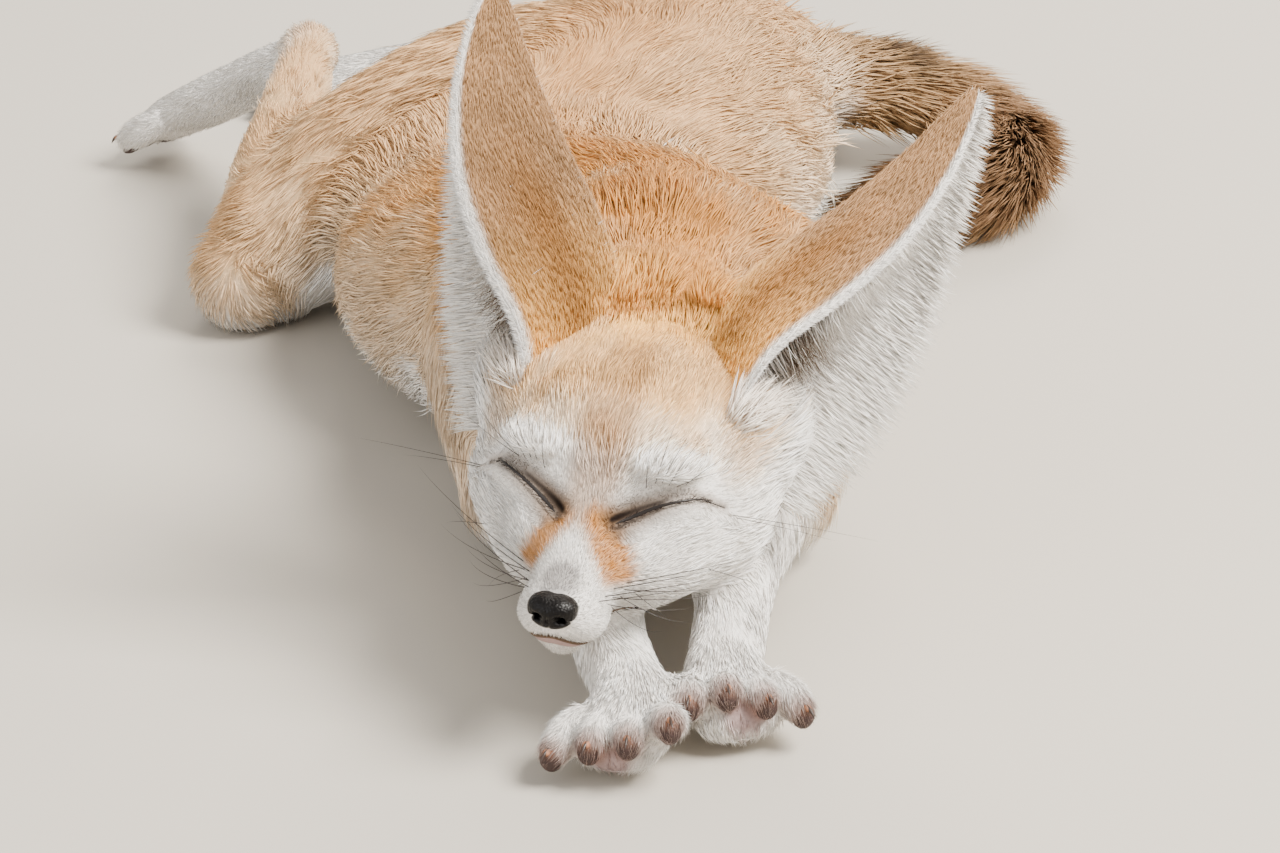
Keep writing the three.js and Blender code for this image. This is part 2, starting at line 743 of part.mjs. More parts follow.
/** The tail's core: the tail without its brush. */
function tailCore() {
  return loft(TAIL.map(([x, y, z, wide, high], n) => {
    const share = n < 2 ? 1 : BRUSH.core;
    return [x, y, Math.max(z - (1 - share) * high * 0.3, 0.8 * share * high), wide * share, high * share];
  }), 15, 12, 0.08);
}

/** The locks of the brush, in rings along the tail, each ring turned by a share of a lock from the last. */
function brushLocks() {
  const locks = [];
  for (let i = 0; i < BRUSH.rings; i += 1) {
    const root = BRUSH.first + (BRUSH.last - BRUSH.first) * (i / (BRUSH.rings - 1));
    for (let j = 0; j < BRUSH.around; j += 1) {
      const angle = (2 * Math.PI * (j + BRUSH.turn * i)) / BRUSH.around;
      const at = (u) => {
        const q = root + BRUSH.reach * u;
        const [x, y, z, wide, high] = between(TAIL, q);
        const ahead = tailWay(q);
        const level = unit(cross(ahead, [0, 0, 1]));
        const upward = cross(level, ahead);
        const out = add(scaled(level, Math.cos(angle)), scaled(upward, Math.sin(angle)));
        const rise = 0.4 + 0.6 * (2 * u - u * u);
        const sideways = scaled(level, wide * rise * Math.cos(angle));
        const upwards = scaled(upward, high * rise * Math.sin(angle));
        const onwards = scaled(ahead, Math.max(q - 1, 0) * BRUSH.past);
        const middle = [sideways, upwards, onwards].reduce(add, [x, y, z]);
        return { middle, across: unit(cross(ahead, out)), out };
      };
      const size = between(TAIL, root + 0.1)[3] / 17;
      if (at(0).out[2] > -0.75) locks.push({ at, wide: BRUSH.wide * size, thick: BRUSH.thick * size });
    }
  }
  return locks;
}

/** All that lies beyond a plane across the Y axis: behind it, or in front of it. */
function beyond(y, behind) {
  return behind ? block([-FAR, y, -FAR], [FAR, FAR, FAR]) : block([-FAR, -FAR, -FAR], [FAR, y, FAR]);
}

keepCoated('head', COATS.cream, headSolid(), ruffLocks(), faceSlits());
keep('nose', COATS.nose, noseSolid());
Object.entries(EARS).forEach(([side, ear]) => {
  keepCoated(`ear_${side}`, COATS.white, earSolid(ear), fringeLocks(ear));
});

const trunk = loft(TRUNK, 18, 24, 0.13, 0.1);
keep('torso', COATS.sand, trunk, [beyond(HIND_CUT - GAP / 2, true)]);
keep('hindquarters', COATS.rufous, trunk, [beyond(HIND_CUT + GAP / 2, false)]);
keep('neck', COATS.rufous, loft(NECK, 8, 16, 0.2));

Object.entries(FORELEGS).forEach(([side, leg]) => {
  keep(`upper_arm_${side}`, COATS.sand, loft(leg.upper, 8, 14, 0.2));
  keep(`foreleg_${side}`, COATS.white, loft(leg.arm, 10, 12, 0.12));
  keep(`forepaw_${side}`, COATS.white, footSolid(leg.wrist, leg.toes, FOREPAW));
});

Object.entries(HIND_LEGS).forEach(([side, leg]) => {
  keep(`thigh_${side}`, COATS.sand, loft(leg.thigh, 11, 16, 0.2));
  keep(`shin_${side}`, COATS.cream, loft(leg.shin, 10, 12, 0.14));
  keep(`hind_foot_${side}`, COATS.white, footSolid(leg.hock, leg.toes, HIND_FOOT));
});

keepCoated('tail', COATS.rufous, tailCore(), brushLocks());

const fox = new THREE.Group();
fox.name = 'fennec_fox';
fox.position.set(-MIDDLE[0], -MIDDLE[1], 0);
built.forEach(({ name, coat, body }) => {
  const { points, faces } = pieces(body);
  const geometry = new THREE.BufferGeometry();
  geometry.setAttribute('position', new THREE.Float32BufferAttribute(points.flat(), 3));
  geometry.setIndex(faces.flat());
  geometry.computeVertexNormals();
  const mesh = new THREE.Mesh(geometry, new THREE.MeshStandardMaterial({ ...coat, metalness: 0 }));
  mesh.name = name;
  fox.add(mesh);
});

export default fox;
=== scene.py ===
# %% [markdown]
# A fennec fox asleep on its chest, life-size, as a museum would show it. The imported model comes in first,
# as a fixed frame: it says where every part of the body is, out to the tips of the coat. This lesson
# then grows one skin inside it, and on the skin a coat of small tufts, each a lock of fine hairs.

# %% The frame
import bpy
import bmesh
import numpy as np
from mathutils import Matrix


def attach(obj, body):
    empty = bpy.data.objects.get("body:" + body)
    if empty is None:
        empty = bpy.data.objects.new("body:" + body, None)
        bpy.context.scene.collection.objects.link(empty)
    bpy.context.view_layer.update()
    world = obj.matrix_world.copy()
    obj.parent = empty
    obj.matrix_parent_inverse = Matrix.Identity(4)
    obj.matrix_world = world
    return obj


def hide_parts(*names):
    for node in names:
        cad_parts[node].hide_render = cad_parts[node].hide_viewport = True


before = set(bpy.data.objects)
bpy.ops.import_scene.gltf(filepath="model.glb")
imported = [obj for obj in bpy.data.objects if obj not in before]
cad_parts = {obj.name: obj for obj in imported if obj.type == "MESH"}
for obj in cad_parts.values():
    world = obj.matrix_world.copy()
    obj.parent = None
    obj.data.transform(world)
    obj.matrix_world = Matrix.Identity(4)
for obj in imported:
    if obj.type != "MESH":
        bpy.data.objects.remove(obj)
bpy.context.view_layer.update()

# %% [markdown]
# Sizes are in millimetres, in the fox's own frame: the middle of its head is over the origin, it faces
# -Y, its left side is +X and the floor is z = 0. Only when a mesh is made do its points become metres
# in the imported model's frame, whose origin is under the middle of the whole animal.

# %% Sizes and directions
MIDDLE = np.array([-14.0, 155.0, 0.0])
MM = 0.001
UP = np.array([0.0, 0.0, 1.0])
RNG = np.random.default_rng(7)


def unit(v):
    """Vectors of length one: each row over its own length."""
    return v / np.maximum(np.linalg.norm(v, axis=-1, keepdims=True), 1e-9)


def smooth(value, low, high):
    """0 below low, 1 above high, and a soft s-curve 3t^2 - 2t^3 between."""
    t = np.clip((value - low) / (high - low), 0, 1)
    return t * t * (3 - 2 * t)


def through(rows, q):
    """A smooth curve through the rows of a table, at q from 0 to 1 (a Catmull-Rom cubic per span)."""
    rows = np.asarray(rows, float)
    place = np.clip(np.atleast_1d(q), 0, 1) * (len(rows) - 1)
    n = np.minimum(place.astype(int), len(rows) - 2)
    t = (place - n)[:, None]
    a, b, c, d = (rows[np.clip(n + k, 0, len(rows) - 1)] for k in (-1, 0, 1, 2))
    return 0.5 * (2 * b + t * (c - a + t * (2 * a - 5 * b + 4 * c - d + t * (3 * b - a - 3 * c + d))))


def turned(yaw, pitch, roll):
    """A turn about Z, X and then Y, in degrees, as a 3 x 3 matrix."""
    a, b, c = np.radians([yaw, pitch, roll])
    about_z = np.array([[np.cos(a), -np.sin(a), 0], [np.sin(a), np.cos(a), 0], [0, 0, 1]])
    about_x = np.array([[1, 0, 0], [0, np.cos(b), -np.sin(b)], [0, np.sin(b), np.cos(b)]])
    about_y = np.array([[np.cos(c), 0, np.sin(c)], [0, 1, 0], [-np.sin(c), 0, np.cos(c)]])
    return about_z @ about_x @ about_y


HEAD_AT = np.array([0.0, 0.0, 51.0])
HEAD_TURN = turned(-15.8, -3.0, 4.5)


def to_head(points):
    """Points of the fox's frame in the head's own frame: x to its left, y back, z up."""
    return (points - HEAD_AT) @ HEAD_TURN


def from_head(points):
    """Points of the head's own frame in the fox's frame: turned, then moved to the head's place."""
    return np.asarray(points, float) @ HEAD_TURN.T + HEAD_AT


def one_side(points):
    """Points in the head's own frame, with its right side folded over onto its left: |x|, y and z."""
    x, y, z = to_head(points).T
    return np.stack([np.abs(x), y, z], 1)


# %% [markdown]
# The body plan repeats the named sizes of the CAD: rows of x, y, z, half width and half height along
# the trunk, the neck, each leg and the tail. A table of coats says how deep the skin lies under the hair
# of each part, and how long, wide and dense its tufts are.

# %% The body plan
TRUNK = [
    [5, 26, 40, 30, 30], [8, 60, 43, 46, 48], [6, 88, 42, 49, 48], [-8, 122, 38, 53, 43],
    [-20, 156, 33, 58, 38], [-19, 190, 31, 57, 36], [2, 226, 34, 52, 38], [14, 260, 34, 46, 39],
    [20, 304, 32, 34, 33],
]
NECK = [[2, -4, 50, 20, 20], [2, 22, 52, 29, 28], [3, 50, 50, 37, 36], [5, 84, 50, 38, 38]]
FORELEG_LEFT = {
    "upper": [[30, 98, 60, 16, 18], [38, 82, 46, 18, 23], [38, 64, 28, 16, 20], [36, 50, 14, 12, 14]],
    "arm": [[35, 60, 15, 13, 15], [32, 40, 19, 13.5, 15], [26, 4, 19, 10.5, 10.5], [22, -33, 13, 9, 8.5],
            [21, -44, 10, 7, 6]],
    "heel": [22, -32, 10.5], "toes": [27, -50, 4.6],
}
FORELEG_RIGHT = {
    "upper": [[-20, 98, 60, 16, 18], [-30, 82, 46, 18, 23], [-30, 64, 28, 16, 20], [-27, 50, 14, 12, 14]],
    "arm": [[-26, 58, 15, 13, 15], [-23, 38, 19, 13.5, 15], [-10, -2, 18, 10.5, 10.5],
            [1, -45, 13, 9, 8.5], [3, -56, 10, 7, 6]],
    "heel": [1, -44, 10.5], "toes": [-4, -64, 4.6],
}
HIND_LEG_RIGHT = {
    "thigh": [[8, 252, 42, 26, 26], [-24, 240, 44, 36, 31], [-64, 220, 35, 30, 29], [-96, 201, 18, 18, 20],
              [-108, 193, 13, 10, 12]],
    "shin": [[-107, 190, 12, 11, 12], [-101, 201, 15, 16, 17], [-97, 230, 29, 14.5, 15],
             [-93, 262, 43, 10, 10.5], [-91, 282, 49, 8, 8]],
    "heel": [-92, 279, 46], "toes": [-139, 316, 10],
}
HIND_LEG_LEFT = {
    "thigh": [[4, 264, 30, 26, 26], [20, 288, 30, 32, 31], [34, 320, 24, 27, 26], [44, 346, 17, 18, 19],
              [48, 360, 13, 10, 12]],
    "shin": [[54, 350, 13, 12, 12], [40, 358, 14, 16, 16], [6, 370, 14, 13, 14], [-34, 377, 11, 10, 10.5],
             [-54, 376, 10, 8, 8]],
    "heel": [-48, 376, 10], "toes": [-108, 351, 5],
}
FOREPAW = {"palm": 9.5, "toe": 4.9, "span": 24, "rise": 1.5}
HIND_FOOT = {"palm": 9.5, "toe": 4.8, "span": 23, "rise": 0}
# How far each toe of a forepaw is held up, from one side of the paw to the other
CURLS = {"fore_left": (3.5, 6.5, 8.5, 7), "fore_right": (8, 5.5, 4, 1.5)}
TAIL = [
    [30, 276, 36, 12, 12], [54, 298, 32, 12, 12], [80, 311, 25, 14, 14], [98, 303, 18, 16.5, 16.5],
    [106, 284, 16.5, 17.5, 17.5], [101, 264, 16, 17.5, 17.5], [86, 254, 14, 15, 15], [70, 250, 9, 10, 10],
]
TAIL_CORE = 0.6

COATS = {
    # kind      how deep the skin lies, how long and wide a tuft is, and how many there are to 1 mm2
    "skull": {"depth": 1.3, "long": 5.5, "wide": 0.42, "many": 2.0},
    "muzzle": {"depth": 0.8, "long": 2.2, "wide": 0.3, "many": 3.6},
    "neck": {"depth": 2.4, "long": 14, "wide": 0.42, "many": 1.2},
    "trunk": {"depth": 2.4, "long": 15, "wide": 0.47, "many": 0.735},
    "haunch": {"depth": 2.2, "long": 13, "wide": 0.47, "many": 0.57},
    "leg": {"depth": 1.3, "long": 6.5, "wide": 0.38, "many": 1.0},
    "paw": {"depth": 0.7, "long": 3.4, "wide": 0.3, "many": 3.0},
    "tail": {"depth": 0.0, "long": 20, "wide": 0.55, "many": 1.35},
}

# %% [markdown]
# An animal's skin has no edges: each part runs into the next with a soft hollow. A field gives that for
# nothing. Every part says how far a point is from its own surface, minus inside and plus outside, and
# neighbours are run together where their distances are alike. The skin is where the field is zero.

# %% Distances to the body's parts
def ellipse_distance(across, upward, wide, high, onward=0.0, reach=1.0):
    """How far a point is from an ellipse or ellipsoid: n (n - 1) / |gradient|, where n is 1 on it."""
    near = np.sqrt((across / wide) ** 2 + (upward / high) ** 2 + (onward / reach) ** 2)
    slope = np.sqrt((across / wide**2) ** 2 + (upward / high**2) ** 2 + (onward / reach**2) ** 2)
    return np.where(slope < 1e-6, -np.minimum(wide, high), near * (near - 1) / np.maximum(slope, 1e-6))


def line_of(rows, count=64, cap=0.16, flare=0.0):
    """Samples along a limb: its middle, the ways along, across and up it, and its half sizes.

    The line stops short of the limb's ends by `cap` of its length, or by its radius there if that is
    less, because the distance rounds the ends off by as much.
    """
    rows = np.asarray(rows, float)
    whole = through(rows, np.linspace(0, 1, 60))
    length = np.linalg.norm(np.diff(whole[:, :3], axis=0), axis=1).sum()
    first, last = (min(cap, end[3:].min() / length) for end in (whole[0], whole[-1]))
    q = np.linspace(first, 1 - last, count)
    at = through(rows, q)
    onward = unit(through(rows, q + 0.02)[:, :3] - through(rows, q - 0.02)[:, :3])
    across = unit(np.cross(onward, [0, 0, 1.0]))
    return {"q": q, "at": at[:, :3], "size": at[:, 3:], "onward": onward, "across": across,
            "upward": np.cross(across, onward), "flare": flare, "step": length * (q[1] - q[0])}


def near_line(points, line):
    """For each point: its nearest sample, and its place across, up and along from there."""
    nearest = np.empty(len(points), int)
    for start in range(0, len(points), 60000):
        some = points[start:start + 60000]
        gap = (some**2).sum(1)[:, None] - 2 * some @ line["at"].T + (line["at"]**2).sum(1)
        nearest[start:start + 60000] = gap.argmin(1)
    offset = points - line["at"][nearest]
    return nearest, *((offset * line[way][nearest]).sum(1) for way in ("across", "upward", "onward"))


def line_distance(points, line):
    """The distance to a limb: that to the ellipse of its section, with rounded ends."""
    nearest, across, upward, onward = near_line(points, line)
    last = len(line["at"]) - 1
    past = np.where(((nearest == 0) & (onward < 0)) | ((nearest == last) & (onward > 0)), onward, 0.0)
    beside = np.clip(nearest + np.where(onward > 0, 1, -1), 0, last)
    share = np.clip(np.abs(onward) / line["step"], 0, 0.6)[:, None]
    wide, high = (line["size"][nearest] * (1 - share) + line["size"][beside] * share).T
    if line["flare"]:
        across = across / (1 - line["flare"] * np.clip(upward / high, -1, 1))
    return ellipse_distance(across, upward, wide, high, past, np.minimum(wide, high))


MASSES = []


def add_mass(part, distance, ends, reach, blend, coat, onward):
    """Adds a mass to the body: `coat` is its kind of hair, and `onward` the lie of it at points near by."""
    ends = np.atleast_2d(np.asarray(ends, float))
    margin = reach + blend + 5
    MASSES.append({
        "part": part, "distance": distance, "low": ends.min(0) - margin, "high": ends.max(0) + margin,
        "blend": blend, "coat": coat, "depth": COATS[coat]["depth"], "onward": onward,
    })


def add_limb(part, rows, coat, blend=10, cap=0.16, flare=0.0):
    """Adds a limb along a table of rows: its coat lies along its line."""
    line = line_of(rows, 64, cap, flare)
    add_mass(part, lambda p: line_distance(p, line), line["at"], line["size"].max() + 2, blend, coat,
             lambda p: line["onward"][near_line(p, line)[0]])
    MASSES[-1]["line"] = line
    return line


# %% [markdown]
# The head is a handful of rounded masses: skull, forehead, cheeks, muzzle, jaw, whisker pads, brows and
# the roots of the ears. The closed lids are two low bulges over each eye with a crease between them.

# %% The head's masses
MUZZLE_ROOT = np.array([0.0, -62.0, -16.0])


def head_lie(points):
    """The lie of the coat on the head: it streams back from the nose, over the brow and the cheeks."""
    return unit(to_head(points) - MUZZLE_ROOT) @ HEAD_TURN.T


def head_mass(at, radii, blend=12, coat="skull"):
    """A rounded mass in the head's own frame: the distance to an ellipsoid."""
    at = np.asarray(at, float)

    def distance(points):
        offset = to_head(points) - at
        return ellipse_distance(offset[:, 0], offset[:, 1], radii[0], radii[1], offset[:, 2], radii[2])

    add_mass("head", distance, from_head(at), max(radii), blend, coat, head_lie)


def head_cone(a, b, ra, rb, blend, coat="muzzle"):
    """A tapering mass in the head's own frame: the distance to a line, less a radius along it."""
    a, b = np.asarray(a, float), np.asarray(b, float)

    def distance(points):
        q = to_head(points) - a
        t = np.clip(q @ (b - a) / ((b - a) @ (b - a)), 0, 1)
        return np.linalg.norm(q - t[:, None] * (b - a), axis=1) - (ra + (rb - ra) * t)

    add_mass("head", distance, from_head([a, b]), max(ra, rb), blend, coat, head_lie)


head_mass([0, 8, 4], [31, 31, 25.5], 10)
head_mass([0, -12, 9], [21, 18, 15])
head_mass([0, 4, -14], [25, 30, 14])
head_cone([0, -20, -7], [0, -48.5, -16.5], 15, 8.4, 12)
head_cone([0, -20, -20], [0, -45.5, -24], 10.5, 6, 5)
for side in (1, -1):
    head_mass([side * 18.5, -3, -7], [17.5, 23, 17])
    head_mass([side * 11, -22, -11], [11.5, 15, 12])
    head_mass([side * 5.2, -47, -18.8], [5.8, 7, 5.6], 4, "muzzle")
    head_mass([side * 16, -24.3, 2.6], [8.6, 6.6, 6.2], 6, "muzzle")
    head_mass([side * 29, 8, 12], [10, 12, 13])
    head_mass([side * 15, -22.3, 11.3], [9, 8.4, 4.2], 4, "muzzle")
# Loose skin lies in two rolls between the ears
head_cone([-26, 18, 29.5], [-5, 28, 30], 8, 8, 4, "skull")
head_cone([9, 27, 29.5], [24, 22, 30.5], 7, 7, 4, "skull")
print("the head has", len(MASSES), "masses")

# %% [markdown]
# The trunk, neck, legs and tail are sections carried along a line. A foot is a palm with four toes that
# fan out, worked out here from the same few sizes as in the CAD.

# %% The body's limbs
add_limb("neck", NECK, "neck", 16, 0.2)
add_limb("trunk", TRUNK, "trunk", 16, 0.13, 0.1)


def foot_rows(heel, toes, foot):
    """The palm's rows, and for each toe the rows of the digit, from the toes' middle backwards.

    A paw that rests on its palm holds some toes up: `curl` lifts the tip of each and draws it back.
    """
    heel, toes = np.array(heel, float), np.array(toes, float)
    far = np.linalg.norm(toes - heel)
    ahead = unit(toes - heel)
    across = unit(np.cross(ahead, UP))

    def row(back, n, rise, wide, high):
        at = toes - ahead * back + across * (n / 3) * foot["span"] + np.array([0, 0, rise + foot["rise"]])
        return [*at, wide, high]

    palm, toe, most_curl = foot["palm"], foot["toe"], max(foot["curl"])
    rows = [row(far + 5, 0, 0, palm * 0.75, palm * 0.75), row(far * 0.75, 0, 0, palm * 0.9, palm * 0.85),
            row(9, 0, 0.5, palm * 1.15, palm * 0.75),
            row(3 - 0.3 * most_curl, 0, -0.5, palm * (0.8 + 0.03 * most_curl), palm * 0.5)]
    digits = []
    for n, tuck in zip((-1.5, -0.5, 0.5, 1.5), foot["curl"]):
        short = 1.5 * abs(n)
        digits.append([row(12 + short, n * 0.6, 0.5 + 0.25 * tuck, toe * 0.75, toe * 0.8),
                       row(5 + short + 0.2 * tuck, n * 0.9, 0.6 + 0.6 * tuck, toe * 0.95, toe),
                       row(short - 1 + 0.5 * tuck, n, 0.2 + 0.95 * tuck, toe * 1.0, toe * 1.0),
                       row(short - 4.5 + 0.65 * tuck, n * 1.08, 1.1 * tuck, toe * 0.7, toe * 0.7)])
    return rows, digits, ahead


FEET = {}
for name, leg, foot in (("fore_left", FORELEG_LEFT, FOREPAW), ("fore_right", FORELEG_RIGHT, FOREPAW),
                        ("hind_left", HIND_LEG_LEFT, HIND_FOOT), ("hind_right", HIND_LEG_RIGHT, HIND_FOOT)):
    above, below, cap = ("upper", "arm", 0.12) if "upper" in leg else ("thigh", "shin", 0.14)
    add_limb(name, leg[above], "haunch", 16, 0.2)
    add_limb(name, leg[below], "leg", 8, cap)
    foot = {**foot, "curl": CURLS.get(name, (0, 0, 0, 0))}
    palm_rows, digit_rows, ahead = foot_rows(leg["heel"], leg["toes"], foot)
    add_limb(name, palm_rows, "paw", 5, 0.2)
    for rows in digit_rows:
        add_limb(name, rows, "paw", 1.5, 0.2)
    FEET[name] = {"digits": digit_rows, "palm": palm_rows, "ahead": ahead}


def mid_toes(foot, row):
    """The place halfway between a foot's two middle toes, at one of the rows of their tables."""
    return (np.array(foot["digits"][1][row][:3]) + np.array(foot["digits"][2][row][:3])) / 2


# The tail's table is its outline with the brush on, so its core is thinner, and lies lower
tail_rows = np.array(TAIL, float)
tail_share = np.where(np.arange(len(TAIL)) < 2, 0.85, TAIL_CORE)
tail_rows[:, 3:] *= tail_share[:, None]
tail_rows[:, 2] = np.maximum(tail_rows[:, 2] - (1 - tail_share) * 5, tail_rows[:, 4] * 0.9)
TAIL_LINE = add_limb("tail", tail_rows, "tail", 12, 0.1)
PARTS = list(dict.fromkeys(mass["part"] for mass in MASSES))
print("the body has", len(MASSES), "masses in the parts", PARTS)

# %% [markdown]
# The field of the whole body. Parts are only worked out near themselves, which keeps the grid quick.
# The last step presses the belly flat just above the floor, as the weight of a sleeping animal does.

# %% The field of the body
FLOOR_SKIN = 0.7
FAR_AWAY = 40.0


def run_into(field, distance, blend):
    """The smaller of two distances, with a fillet: less (blend - |difference|)^2 / (4 blend)."""
    near = np.maximum(blend - np.abs(field - distance), 0) / blend
    return np.minimum(field, distance) - near * near * blend / 4


def body_field(points):
    """The distance to the skin at points of the fox's frame: every mass, run together."""
    field = np.full(len(points), FAR_AWAY)
    for mass in MASSES:
        near = np.flatnonzero(((points > mass["low"]) & (points < mass["high"])).all(1))
        if len(near):
            distance = mass["distance"](points[near]) + mass["depth"]
            field[near] = run_into(field[near], distance, mass["blend"])
    return -run_into(-field, points[:, 2] - FLOOR_SKIN, 2.0)


def grid_field(xs, ys, zs):
    """The same field on a grid: each mass is worked out in its own block of the grid."""
    field = np.full((len(xs), len(ys), len(zs)), FAR_AWAY)
    for mass in MASSES:
        block = tuple(slice(*np.searchsorted(axis, (mass["low"][k], mass["high"][k])))
                      for k, axis in enumerate((xs, ys, zs)))
        corners = np.meshgrid(xs[block[0]], ys[block[1]], zs[block[2]], indexing="ij")
        points = np.stack([c.ravel() for c in corners], 1)
        if len(points):
            distance = (mass["distance"](points) + mass["depth"]).reshape(corners[0].shape)
            field[block] = run_into(field[block], distance, mass["blend"])
    return -run_into(-field, zs[None, None, :] - FLOOR_SKIN, 2.0)


# %% [markdown]
# The zero of the field is drawn by surface nets: each little cube of the grid that the surface crosses
# gets one point, at the mean of its crossings, and each crossed edge of the grid gets a face between
# the four cubes round it.

# %% A surface from a field
def surface_net(values, xs, ys, zs):
    """Points and four-sided faces of the surface where the values change sign."""
    axes = (xs, ys, zs)
    inside = values < 0
    cells = tuple(n - 1 for n in values.shape)
    total = np.zeros(cells + (3,))
    count = np.zeros(cells)
    crossings = []
    for axis in range(3):
        low = [slice(None)] * 3
        high = [slice(None)] * 3
        low[axis], high[axis] = slice(None, -1), slice(1, None)
        va, vb = values[tuple(low)], values[tuple(high)]
        i = np.argwhere(inside[tuple(low)] != inside[tuple(high)])
        fa, fb = va[tuple(i.T)], vb[tuple(i.T)]
        at = np.stack([axes[k][i[:, k]] for k in range(3)], 1)
        step = axes[axis][i[:, axis] + 1] - axes[axis][i[:, axis]]
        at[:, axis] += step * fa / (fa - fb)
        u, v = (axis + 1) % 3, (axis + 2) % 3
        round_edge = []
        for du, dv in ((0, 0), (1, 0), (1, 1), (0, 1)):
            cell = i.copy()
            cell[:, u] -= du
            cell[:, v] -= dv
            round_edge.append(cell)
        whole = np.all([((c >= 0) & (c < np.array(cells))).all(1) for c in round_edge], axis=0)
        for cell in round_edge:
            good = ((cell >= 0) & (cell < np.array(cells))).all(1)
            np.add.at(total, tuple(cell[good].T), at[good])
            np.add.at(count, tuple(cell[good].T), 1)
        crossings.append((np.stack(round_edge, 1)[whole], (fa < 0)[whole]))
    number = np.full(cells, -1)
    used = count > 0
    number[used] = np.arange(used.sum())
    points = total[used] / count[used][:, None]
    faces = []
    for ring, outward in crossings:
        quad = number[ring[..., 0], ring[..., 1], ring[..., 2]]
        quad[~outward] = quad[~outward][:, ::-1]
        faces.append(quad)
    return points, np.concatenate(faces)


# %% [markdown]
# The field also says how far any point is from the skin, and its slope says which way. So a point near
# the skin can be moved onto it: this corrects the coarse grid, and lays lines and whiskers on the body.

# %% Moving points onto a field
def settle(points, measure, rounds):
    """Points moved onto a field's zero, by -field slope / |slope|^2 each round, and the way out there."""
    step, most, least_steep = 0.12, 2, 0.25
    for done in range(rounds + 1):
        field = measure(points)
        slope = np.stack([measure(points + step * np.eye(3)[k]) - field for k in range(3)], 1) / step
        if done < rounds:
            steep = np.maximum((slope**2).sum(1), least_steep)
            points = points - np.clip(field, -most, most)[:, None] * slope / steep[:, None]
    return points, unit(slope)


test_points = settle(from_head([[0, 0, 40], [30, -20, -10], [-20, -30, 10]]), body_field, 6)[0]
print("points moved onto the skin are off it by", np.abs(body_field(test_points)).max().round(4), "mm")

# %% [markdown]
# The eyes are shut, so each is a dark line where the lids meet, and the mouth is another. Points of
# each line are set near the face and then moved onto it, so that the grooves run along the surface
# whatever its shape. The finished skin is the body's field less these grooves, and less the softer
# hollows in the folds of loose skin between the ears and under each brow.

# %% The lines of the eyes and the mouth
def on_head(rows):
    """Rows of a line near the face, moved onto the skin: x, y, z and two half sizes each."""
    rows = np.asarray(rows, float)
    rows[:, :3] = settle(from_head(rows[:, :3]), body_field, 6)[0]
    return rows


EYE_ROWS = [on_head([
    [side * 7.6, -36.6, 1.0, 0.7, 0.9], [side * 10.5, -35.2, 2.4, 0.85, 1.0],
    [side * 15.8, -31.3, 4.2, 0.8, 0.9], [side * 20.5, -27.4, 4.9, 0.7, 0.75],
    [side * 24.6, -23.2, 4.4, 0.6, 0.6], [side * 29.0, -18.4, 1.4, 0.4, 0.45],
]) for side in (1, -1)]
MOUTH_ROWS = on_head([
    [13.5, -27, -18.8, 1.0, 0.4], [10.2, -38, -21.6, 1.3, 0.5], [6.2, -48.5, -22.8, 1.5, 0.55],
    [0, -54.5, -22.6, 1.6, 0.6], [-6.2, -48.5, -22.8, 1.5, 0.55], [-10.2, -38, -21.6, 1.3, 0.5],
    [-13.5, -27, -18.8, 1.0, 0.4],
])
GROOVES = [line_of(rows, 64, 0.12) for rows in (*EYE_ROWS, MOUTH_ROWS)]
LID_LINES, MOUTH_LINE = GROOVES[:2], GROOVES[2]

FOLDS = [
    [[-25.1, 10.6, 27.9, 1.5, 1.2], [-13, 12.4, 29.6, 2.2, 1.8], [-6.5, 14, 30.8, 2.4, 2.0],
     [-2.2, 16.4, 31.5, 2.4, 2.2], [3.3, 19.1, 31.9, 2.4, 2.4], [4.7, 24.1, 35.3, 1.8, 2.0],
     [3.4, 30, 36.9, 1.0, 1.2]],
    [[3.3, 19.1, 31.9, 2.2, 2.2], [9.6, 19, 31.4, 2.4, 2.2], [15.5, 18.4, 31, 2.4, 2.2],
     [20.4, 17.4, 31.8, 2.0, 1.8], [21.9, 17.7, 26.9, 1.5, 1.4]],
]
UNDER_BROWS = [[[side * 6.4, -38.5, 2.4, 0.9, 2.2], [side * 10, -36, 5.0, 1.2, 2.4],
                [side * 16, -31, 6.9, 1.0, 2.0], [side * 24, -24, 7.0, 0.6, 1.4]] for side in (1, -1)]
HOLLOWS = [line_of(on_head(rows), 48, 0.15) for rows in (*FOLDS, *UNDER_BROWS)]


def near_box(points, line, margin):
    """Which points lie in the box round a line."""
    low, high = line["at"].min(0) - margin, line["at"].max(0) + margin
    return np.flatnonzero(((points > low) & (points < high)).all(1))


def skin_field(points):
    """The distance to the finished skin: the body less the grooves and the hollows, each with a fillet."""
    field = body_field(points)
    for lines, margin, fillet in ((GROOVES, 5, 1.2), (HOLLOWS, 8, 3.0)):
        for line in lines:
            near = near_box(points, line, margin)
            if len(near):
                field[near] = -run_into(-field[near], line_distance(points[near], line), fillet)
    return field


print("the skin has", len(GROOVES), "grooves and", len(HOLLOWS), "hollows")

# %% [markdown]
# A body can be drawn coarsely, but a face can't. So the coarse skin is cut finer on the head and the
# feet, again over the face, and once more along the lids and the lips. Its points are then moved onto
# the body's field, and near the grooves and folds they are pressed in from there, each along its own
# way out. Moved down the slope of a groove they would meet at its bottom, and the skin would crumple.

